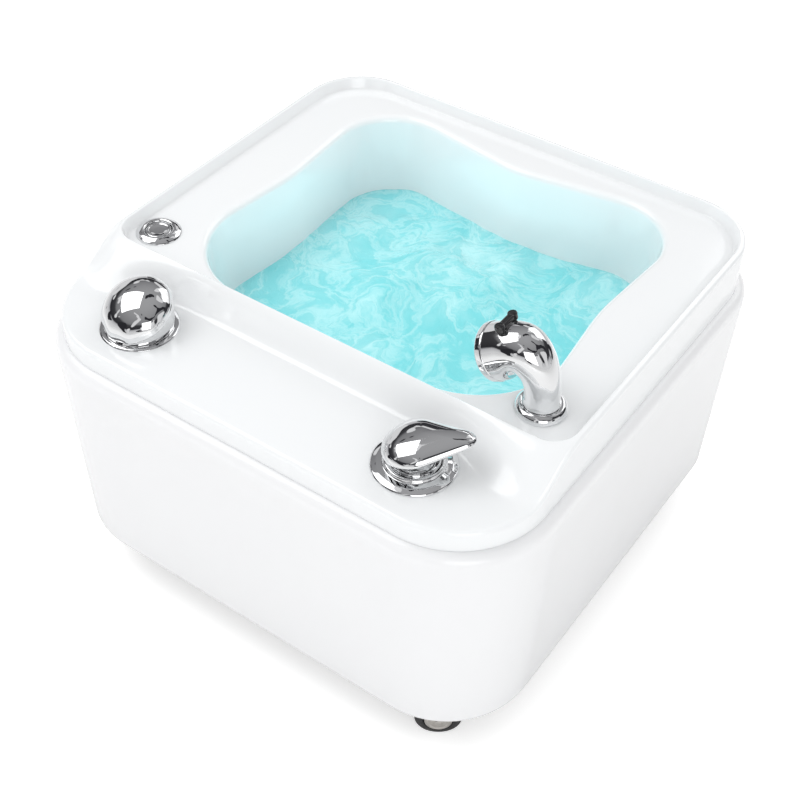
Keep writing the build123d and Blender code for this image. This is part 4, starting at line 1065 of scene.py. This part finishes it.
# ---------------------------------------------------------------- finishes
@dataclass(frozen=True)
class FinishSpec:
    """A finish's plain values."""

    colour: Rgb
    roughness: float
    metallic: float = 0.0
    tint: Rgb = (0.9, 0.9, 0.9)
    tint_amount: float = 0.1
    spread: float = 0.05
    scale: float = 60.0
    bump: float = 0.02
    coat: float = 0.0
    ior: float = 1.5
    grain: str = "mottle"


class Finish(Enum):
    """The finishes of the tub's pieces."""

    ACRYLIC = FinishSpec((0.88, 0.895, 0.905), 0.16, tint=(0.82, 0.86, 0.88), coat=0.5, scale=9,
                         bump=0.012)
    SKIRT = FinishSpec((0.86, 0.865, 0.875), 0.24, tint=(0.80, 0.81, 0.83), coat=0.35, scale=7,
                       bump=0.02)
    CHROME = FinishSpec((0.82, 0.825, 0.83), 0.045, 1.0, tint=(0.72, 0.73, 0.75), scale=45,
                        spread=0.03,
                        bump=0.01)
    BRASS = FinishSpec((0.66, 0.47, 0.19), 0.3, 1.0, tint=(0.45, 0.30, 0.13), tint_amount=0.4,
                       scale=120)
    BRUSHED = FinishSpec((0.62, 0.63, 0.64), 0.34, 1.0, tint=(0.48, 0.49, 0.5), grain="brushed",
                         scale=300,
                         bump=0.05)
    HUB = FinishSpec((0.60, 0.58, 0.55), 0.3, 1.0, tint=(0.42, 0.38, 0.33), tint_amount=0.35,
                     grain="brushed", scale=260, bump=0.05)
    FRAME_PAINT = FinishSpec((0.035, 0.035, 0.038), 0.42, tint=(0.08, 0.08, 0.085),
                             tint_amount=0.3,
                             scale=160, bump=0.08)
    BLACK = FinishSpec((0.022, 0.022, 0.024), 0.5, tint=(0.05, 0.05, 0.055), tint_amount=0.3,
                       scale=220,
                       bump=0.05)
    BLACK_GLOSS = FinishSpec((0.012, 0.012, 0.013), 0.22, tint=(0.04, 0.04, 0.045), scale=120,
                             coat=0.3)
    TREAD = FinishSpec((0.016, 0.016, 0.017), 0.55, tint=(0.07, 0.065, 0.06), tint_amount=0.4,
                       scale=150,
                       bump=0.06)
    HOOD = FinishSpec((0.34, 0.31, 0.25), 0.45, tint=(0.22, 0.20, 0.16), tint_amount=0.35,
                      scale=140)
    PIPE = FinishSpec((0.78, 0.78, 0.75), 0.38, tint=(0.66, 0.66, 0.62), tint_amount=0.25,
                      scale=90)
    MOTOR = FinishSpec((0.045, 0.06, 0.08), 0.4, tint=(0.09, 0.11, 0.13), tint_amount=0.5,
                       scale=260,
                       bump=0.25, coat=0.2)
    IMPELLER = FinishSpec((0.5, 0.44, 0.32), 0.45, tint=(0.4, 0.34, 0.25), tint_amount=0.3,
                          scale=120)
    BOX = FinishSpec((0.2, 0.205, 0.21), 0.5, tint=(0.14, 0.145, 0.15), tint_amount=0.3, scale=400,
                     bump=0.1)
    SPRAY_FACE = FinishSpec((0.2, 0.205, 0.21), 0.38, tint=(0.3, 0.3, 0.31), tint_amount=0.2,
                            scale=120)
    BRAID = FinishSpec((0.6, 0.61, 0.62), 0.32, 1.0, tint=(0.3, 0.3, 0.31), tint_amount=0.7,
                       grain="braid",
                       scale=420, bump=0.5)
    TUBING = FinishSpec((0.74, 0.78, 0.78), 0.25, tint=(0.62, 0.68, 0.68), tint_amount=0.3,
                        scale=80)
    LEAD = FinishSpec((0.02, 0.02, 0.021), 0.48, tint=(0.05, 0.05, 0.05), tint_amount=0.3,
                      scale=200)
    LENS = FinishSpec((0.75, 0.95, 0.97), 0.12, grain="lens", ior=1.49)
    # painted glints and glow: the tint is the lighter colour of the glints painted on the water, and
    # the water colour also feeds an emission that paints its glow
    WATER = FinishSpec((0.22, 0.70, 0.74), 0.08, tint=(0.50, 0.86, 0.88), grain="water", ior=1.33,
                       scale=6, bump=0.4)


SLOT_FINISH = {
    "acrylic_white": Finish.ACRYLIC, "skirt_white": Finish.SKIRT,
    "frame_paint": Finish.FRAME_PAINT,
    "plate_steel": Finish.BRUSHED, "chrome": Finish.CHROME, "brass": Finish.BRASS,
    "black_plastic": Finish.BLACK, "black_rubber": Finish.BLACK, "white_pipe": Finish.PIPE,
    "motor_paint": Finish.MOTOR, "impeller_plastic": Finish.IMPELLER, "box_plastic": Finish.BOX,
    "clear_lens": Finish.LENS, "spring_steel": Finish.BRUSHED, "spray_grey": Finish.SPRAY_FACE,
    "braided_hose": Finish.BRAID, "air_tubing": Finish.TUBING, "lead_sheath": Finish.LEAD,
    "castor_hood": Finish.HOOD, "castor_tread": Finish.TREAD, "castor_hub": Finish.HUB,
}


class NodePen:
    """A short hand for adding and joining nodes in one tree."""

    def __init__(self, tree: bpy.types.NodeTree) -> None:
        """Start on an empty tree."""
        self.tree = tree

    def add(self, kind: str, **values: object) -> bpy.types.Node:
        """Add a node; upper-case names set its properties, others its inputs.

        Args:
            kind: the node's type.
            **values: property names with a leading "p_", or input names with "_" for a space.

        Returns:
            The node.
        """
        node = self.tree.nodes.new(kind)
        for key, value in values.items():
            if key.startswith("p_"):
                setattr(node, key[2:], value)
            else:
                self.feed(value, node.inputs[key.replace("_", " ")])
        return node

    def feed(self, value: object, socket: bpy.types.NodeSocket) -> None:
        """Link an output to a socket, or set the socket's own value."""
        if isinstance(value, bpy.types.NodeSocket):
            self.tree.links.new(value, socket)
        elif isinstance(value, tuple) and len(value) == 3 and socket.type == "RGBA":
            socket.default_value = (*value, 1.0)
        else:
            socket.default_value = value

    def ramp(self, factor: bpy.types.NodeSocket,
             stops: Sequence[tuple[float, Rgb]]) -> bpy.types.NodeSocket:
        """Add a colour ramp with the given stops."""
        node = self.tree.nodes.new("ShaderNodeValToRGB")
        elements = node.color_ramp.elements
        while len(elements) < len(stops):
            elements.new(0.5)
        for element, (place, colour) in zip(elements, stops):
            element.position = place
            element.color = (*colour, 1.0)
        self.tree.links.new(factor, node.inputs["Fac"])
        return node.outputs["Color"]

    def mix(self, factor: object, first: object, second: object) -> bpy.types.NodeSocket:
        """Add a colour mix of two values."""
        node = self.tree.nodes.new("ShaderNodeMix")
        node.data_type = "RGBA"
        self.feed(factor, node.inputs[0])
        self.feed(first, node.inputs[6])
        self.feed(second, node.inputs[7])
        return node.outputs[2]

    def maths(self, operation: str, first: object, second: object = 0.0) -> bpy.types.NodeSocket:
        """Add a maths node."""
        node = self.tree.nodes.new("ShaderNodeMath")
        node.operation = operation
        self.feed(first, node.inputs[0])
        self.feed(second, node.inputs[1])
        return node.outputs[0]


class PaintShop:
    """Makes each finish's material once, from shared node groups."""

    def __init__(self) -> None:
        """Build the shared groups and an empty shelf of materials."""
        self.shelf: dict[Finish, bpy.types.Material] = {}
        self.groups = {"mottle": self.mottle_group(), "brushed": self.brushed_group(),
                       "braid": self.braid_group(), "water": self.water_group()}
        self.groups["lens"] = self.groups["mottle"]

    def new_group(self, name: str) -> tuple[bpy.types.NodeTree, NodePen, bpy.types.Node,
                                            bpy.types.Node]:
        """Start a finish group with the sockets that every finish uses.

        Args:
            name: the group's name.

        Returns:
            The tree, a pen for it, its input node and its output node.
        """
        tree = bpy.data.node_groups.new(name, "ShaderNodeTree")
        for label, kind in (("Colour", "NodeSocketColor"), ("Tint", "NodeSocketColor"),
                            ("Tint Amount", "NodeSocketFloat"), ("Roughness", "NodeSocketFloat"),
                            ("Spread", "NodeSocketFloat"), ("Scale", "NodeSocketFloat")):
            tree.interface.new_socket(label, in_out="INPUT", socket_type=kind)
        for label, kind in (("Colour", "NodeSocketColor"), ("Roughness", "NodeSocketFloat"),
                            ("Height", "NodeSocketFloat")):
            tree.interface.new_socket(label, in_out="OUTPUT", socket_type=kind)
        pen = NodePen(tree)
        return tree, pen, tree.nodes.new("NodeGroupInput"), tree.nodes.new("NodeGroupOutput")

    def finish_group(self, pen: NodePen, given: bpy.types.Node, out: bpy.types.Node,
                     mask: bpy.types.NodeSocket, height: bpy.types.NodeSocket) -> None:
        """Wire a mask into the colour and roughness, and a height to the bump."""
        amount = pen.maths("MULTIPLY", mask, given.outputs["Tint Amount"])
        pen.feed(pen.mix(amount, given.outputs["Colour"], given.outputs["Tint"]),
                 out.inputs["Colour"])
        shift = pen.maths("MULTIPLY", pen.maths("SUBTRACT", mask, 0.5), given.outputs["Spread"])
        pen.feed(pen.maths("ADD", given.outputs["Roughness"], shift), out.inputs["Roughness"])
        pen.feed(height, out.inputs["Height"])

    def mottle_group(self) -> bpy.types.NodeTree:
        """Build the even, cloudy variation of moulded and plated surfaces."""
        tree, pen, given, out = self.new_group("surface_mottle")
        place = pen.add("ShaderNodeTexCoord").outputs["Object"]
        broad = pen.add("ShaderNodeTexNoise", Vector=place, Scale=given.outputs["Scale"],
                        Detail=4.0)
        fine_scale = pen.maths("MULTIPLY", given.outputs["Scale"], 9.0)
        fine = pen.add("ShaderNodeTexNoise", Vector=place, Scale=fine_scale, Detail=3.0)
        mask = pen.add("ShaderNodeMapRange", Value=broad.outputs["Fac"], From_Min=0.35,
                       From_Max=0.68)
        height = pen.maths("ADD", broad.outputs["Fac"],
                           pen.maths("MULTIPLY", fine.outputs["Fac"], 0.3))
        self.finish_group(pen, given, out, mask.outputs["Result"], height)
        return tree

    def brushed_group(self) -> bpy.types.NodeTree:
        """Build the fine drawn lines of brushed and spun metal."""
        tree, pen, given, out = self.new_group("brushed_lines")
        place = pen.add("ShaderNodeTexCoord").outputs["Object"]
        stretched = pen.add("ShaderNodeMapping", Vector=place, Scale=(1.0, 1.0, 0.06))
        lines = pen.add("ShaderNodeTexNoise", Vector=stretched.outputs["Vector"],
                        Scale=given.outputs["Scale"], Detail=6.0, Roughness=0.7)
        mask = pen.add("ShaderNodeMapRange", Value=lines.outputs["Fac"], From_Min=0.3,
                       From_Max=0.7)
        self.finish_group(pen, given, out, mask.outputs["Result"], lines.outputs["Fac"])
        return tree

    def braid_group(self) -> bpy.types.NodeTree:
        """Build the crossed wires of a braided hose."""
        tree, pen, given, out = self.new_group("wire_braid")
        place = pen.add("ShaderNodeTexCoord").outputs["Object"]
        waves = []
        for direction in ((1.0, 1.0, 1.0), (1.0, -1.0, 1.0)):
            turned_place = pen.add("ShaderNodeVectorMath", p_operation="MULTIPLY")
            pen.feed(place, turned_place.inputs[0])
            pen.feed(direction, turned_place.inputs[1])
            wave = pen.add("ShaderNodeTexWave", Vector=turned_place.outputs[0],
                           Scale=given.outputs["Scale"], Distortion=0.4,
                           p_bands_direction="DIAGONAL")
            waves.append(wave.outputs["Fac"])
        cross = pen.maths("MULTIPLY", *waves)
        mask = pen.maths("SUBTRACT", 1.0, pen.maths("MAXIMUM", *waves))
        self.finish_group(pen, given, out, mask, cross)
        return tree

    def water_group(self) -> bpy.types.NodeTree:
        """Build churned water: folded ripples, with a lighter tint along thin ridges and in cloudy
        patches that paints glints of light on it.
        """
        tree, pen, given, out = self.new_group("churned_water")
        place = pen.add("ShaderNodeTexCoord").outputs["Object"]
        swirl = pen.add("ShaderNodeTexNoise", Vector=place, Scale=given.outputs["Scale"],
                        Detail=5.0,
                        Distortion=1.6)
        bent = pen.add("ShaderNodeVectorMath", p_operation="MULTIPLY_ADD")
        pen.feed(swirl.outputs["Color"], bent.inputs[0])
        pen.feed((0.09, 0.09, 0.02), bent.inputs[1])
        pen.feed(place, bent.inputs[2])
        thread_scale = pen.maths("MULTIPLY", given.outputs["Scale"], 1.7)
        threads = pen.add("ShaderNodeTexVoronoi", Vector=bent.outputs[0], Scale=thread_scale,
                          p_feature="SMOOTH_F1")
        fine = pen.add("ShaderNodeTexNoise", Vector=bent.outputs[0],
                       Scale=pen.maths("MULTIPLY", given.outputs["Scale"], 4.0), Detail=6.0,
                       Roughness=0.62, Distortion=0.8)
        ridge = pen.maths("SUBTRACT", 1.0, pen.maths("ABSOLUTE", pen.maths(
            "MULTIPLY", pen.maths("SUBTRACT", fine.outputs["Fac"], 0.5), 9.0)))
        bright = pen.add("ShaderNodeMapRange", Value=ridge, From_Min=0.25, From_Max=1.0)
        cloud = pen.add("ShaderNodeMapRange", Value=swirl.outputs["Fac"], From_Min=0.42,
                        From_Max=0.72)
        # painted glints: the lighter tint along the ridges and in the cloudy patches stands in for
        # light glinting off the water
        mask = pen.maths("ADD", pen.maths("MULTIPLY", bright.outputs["Result"], 0.55),
                         pen.maths("MULTIPLY", cloud.outputs["Result"], 0.65))
        mask = pen.maths("MINIMUM", mask, 1.0)
        height = pen.maths("ADD", threads.outputs["Distance"],
                           pen.maths("MULTIPLY", fine.outputs["Fac"], 0.8))
        self.finish_group(pen, given, out, mask, height)
        return tree

    def material(self, finish: Finish) -> bpy.types.Material:
        """Return a finish's material, making it the first time.

        Args:
            finish: which finish.

        Returns:
            The material.
        """
        if finish in self.shelf:
            return self.shelf[finish]
        spec: FinishSpec = finish.value
        made = bpy.data.materials.new(f"finish_{finish.name.lower()}")
        made.use_nodes = True
        tree = made.node_tree
        shader = tree.nodes["Principled BSDF"]
        pen = NodePen(tree)
        group = pen.add("ShaderNodeGroup", p_node_tree=self.groups[spec.grain])
        for label, value in (("Colour", spec.colour), ("Tint", spec.tint),
                             ("Tint Amount", spec.tint_amount),
                             ("Roughness", spec.roughness), ("Spread", spec.spread),
                             ("Scale", spec.scale)):
            pen.feed(value, group.inputs[label])
        pen.feed(group.outputs["Colour"], shader.inputs["Base Color"])
        pen.feed(group.outputs["Roughness"], shader.inputs["Roughness"])
        bump = pen.add("ShaderNodeBump", Strength=spec.bump, Distance=0.001,
                       Height=group.outputs["Height"])
        pen.feed(bump.outputs["Normal"], shader.inputs["Normal"])
        shader.inputs["Metallic"].default_value = spec.metallic
        shader.inputs["Coat Weight"].default_value = spec.coat
        shader.inputs["Coat Roughness"].default_value = 0.06
        shader.inputs["IOR"].default_value = spec.ior
        if finish is Finish.LENS:
            shader.inputs["Transmission Weight"].default_value = 0.75
        if finish is Finish.WATER:
            bump.inputs["Distance"].default_value = 0.012
            group.inputs["Tint Amount"].default_value = 1.0
            # painted glow: a faint emission in the water's colour makes it shine like water lit by
            # the basin's light
            pen.feed(group.outputs["Colour"], shader.inputs["Emission Color"])
            shader.inputs["Emission Strength"].default_value = 0.08
        self.shelf[finish] = made
        return made


# ---------------------------------------------------------------- carried-over pieces
@dataclass
class CarriedPieces:
    """The frame's own pieces that keep their shape and only get a finish."""

    def build(self, paint: PaintShop) -> None:
        """Dress every node of the frame by its material slot."""
        for part in frame["record"]["subparts"]:
            piece = frame["nodes"][part["node"]]
            finish = SLOT_FINISH[part["material_slot"]]
            piece.data.materials.clear()
            piece.data.materials.append(paint.material(finish))
            log.info("%s keeps its shape in %s", part["node"], finish.name.lower())


# ---------------------------------------------------------------- studio
@dataclass
class Studio:
    """Pale floor, soft light, white surroundings with a few dark cards, and the camera."""

    camera_at: Point3 = (631.3, -931.2, 1230.5)
    azimuth_deg: float = 34.27
    elevation_deg: float = 43.42
    roll_deg: float = 1.32
    lens_mm: float = 61.5
    floor_half_side: float = 6000
    floor_gap: float = 0.5
    floor_lift: float = 0.45
    room_strength: float = 0.84

    def camera(self) -> None:
        """Stand the camera where the tub is seen from its front right corner."""
        a, e, r = (math.radians(v) for v in (self.azimuth_deg, self.elevation_deg, self.roll_deg))
        back = Vector((math.sin(a) * math.cos(e), -math.cos(a) * math.cos(e), math.sin(e)))
        right = Vector((math.cos(a), math.sin(a), 0))
        up = back.cross(right)
        right, up = right * math.cos(r) + up * math.sin(r), up * math.cos(r) - right * math.sin(r)
        data = bpy.data.cameras.new("camera")
        data.lens, data.sensor_width = self.lens_mm, 36.0
        data.clip_end = 30.0
        camera = bpy.data.objects.new("camera", data)
        bpy.context.scene.collection.objects.link(camera)
        matrix = Matrix((right, up, back)).transposed().to_4x4()
        matrix.translation = Vector(self.camera_at) * MM
        camera.matrix_world = matrix
        bpy.context.scene.camera = camera

    def floor(self) -> None:
        """Lay the plain pale floor, a little brighter to the camera than its light makes it."""
        out, below = self.floor_half_side, -self.floor_gap
        corners = [(-out, -out, below), (out, -out, below), (out, out, below), (-out, out, below)]
        plane = make_object("studio_floor", corners, [(0, 1, 2, 3)])
        pale = bpy.data.materials.new("pale_floor")
        pale.use_nodes = True
        shader = pale.node_tree.nodes["Principled BSDF"]
        shader.inputs["Base Color"].default_value = (0.95, 0.95, 0.95, 1)
        shader.inputs["Roughness"].default_value = 0.9
        shader.inputs["Emission Color"].default_value = (1, 1, 1, 1)
        pen = NodePen(pale.node_tree)
        path = pen.add("ShaderNodeLightPath")
        pen.feed(pen.maths("MULTIPLY", path.outputs["Is Camera Ray"], self.floor_lift),
                 shader.inputs["Emission Strength"])
        plane.data.materials.append(pale)

    def lamp(self, name: str, place: Point3, target: Point3, size: float, watts: float,
             colour: Rgb = (1.0, 1.0, 1.0)) -> None:
        """Hang a square soft light.

        Args:
            name: the light's name.
            place: where it hangs, in metres.
            target: what it points at, in metres.
            size: its side in metres.
            watts: its power.
            colour: its colour.
        """
        data = bpy.data.lights.new(name, "AREA")
        data.energy, data.size, data.color = watts, size, colour
        lamp = bpy.data.objects.new(name, data)
        lamp.location = place
        lamp.rotation_euler = (Vector(target) - Vector(place)).to_track_quat("-Z", "Y").to_euler()
        bpy.context.scene.collection.objects.link(lamp)

    def surroundings(self) -> None:
        """Surround the tub with white light, and show the chrome a darker room with cards."""
        world = bpy.data.worlds.new("studio_world")
        world.use_nodes = True
        tree = world.node_tree
        pen = NodePen(tree)
        direction = pen.add("ShaderNodeTexCoord").outputs["Generated"]
        parts = pen.add("ShaderNodeSeparateXYZ", Vector=direction)
        room = pen.ramp(pen.maths("MULTIPLY", pen.maths("ADD", parts.outputs["Z"], 1.0), 0.5),
                        [(0.0, (0.9, 0.9, 0.9)), (0.5, (0.85, 0.85, 0.86)),
                         (0.57, (0.6, 0.6, 0.62)),
                         (0.60, (0.03, 0.03, 0.035)), (0.70, (0.06, 0.06, 0.065)),
                         (0.74, (0.26, 0.26, 0.27)), (0.86, (0.36, 0.36, 0.37)),
                         (1.0, (0.46, 0.46, 0.47))])
        pattern = pen.add("ShaderNodeTexNoise", Vector=direction, Scale=1.9, Detail=1.0,
                          Distortion=0.6)
        cards = pen.ramp(pattern.outputs["Fac"],
                         [(0.0, (0, 0, 0)), (0.60, (0, 0, 0)), (0.61, (1, 1, 1)),
                                                  (1.0, (1, 1, 1))])
        shadows = pen.ramp(pattern.outputs["Fac"], [(0.0, (1, 1, 1)), (0.36, (1, 1, 1)),
                                                    (0.37, (0, 0, 0)), (1.0, (0, 0, 0))])
        seen = pen.mix(cards, room, (0.9, 0.9, 0.91))
        seen = pen.mix(shadows, seen, (0.03, 0.03, 0.035))
        path = pen.add("ShaderNodeLightPath")
        colour = pen.mix(path.outputs["Is Glossy Ray"], (0.98, 0.98, 0.98), seen)
        background = tree.nodes["Background"]
        pen.feed(colour, background.inputs["Color"])
        background.inputs["Strength"].default_value = self.room_strength
        bpy.context.scene.world = world

    def build(self) -> None:
        """Set up the camera, the floor, the lights and the surroundings."""
        self.camera()
        self.floor()
        self.surroundings()
        self.lamp("key", (-1.2, -0.6, 2.2), (0, 0, 0.3), 1.6, 16)
        self.lamp("fill", (1.8, -1.9, 1.2), (0, 0, 0.2), 1.4, 12)
        self.lamp("back", (0.4, 2.2, 1.6), (0, 0, 0.3), 1.6, 9)
        self.lamp("water_glow", (-0.02, 0.05, 0.285), (-0.02, 0.05, 1.0), 0.26, 0.10,
                  (0.42, 0.95, 1.0))
        bpy.context.scene.view_settings.view_transform = "Standard"


def main() -> None:
    """Build every sub-assembly in order."""
    logging.basicConfig(level=logging.INFO, format="%(message)s")
    paint = PaintShop()
    Studio().build()
    CarriedPieces().build(paint)
    tub = Tub()
    tub.build(paint)
    Skirt().build(paint, tub.rim_outline)
    for name in ("front_right", "back_right", "front_left", "back_left"):
        Castor(name).build(paint)
    for fitting in (Mixer(), Diverter(), AirButton(), HandSpray(), WallFittings()):
        fitting.build(paint)
    Water().build(paint, tub)


if __name__ == "__main__":
    main()
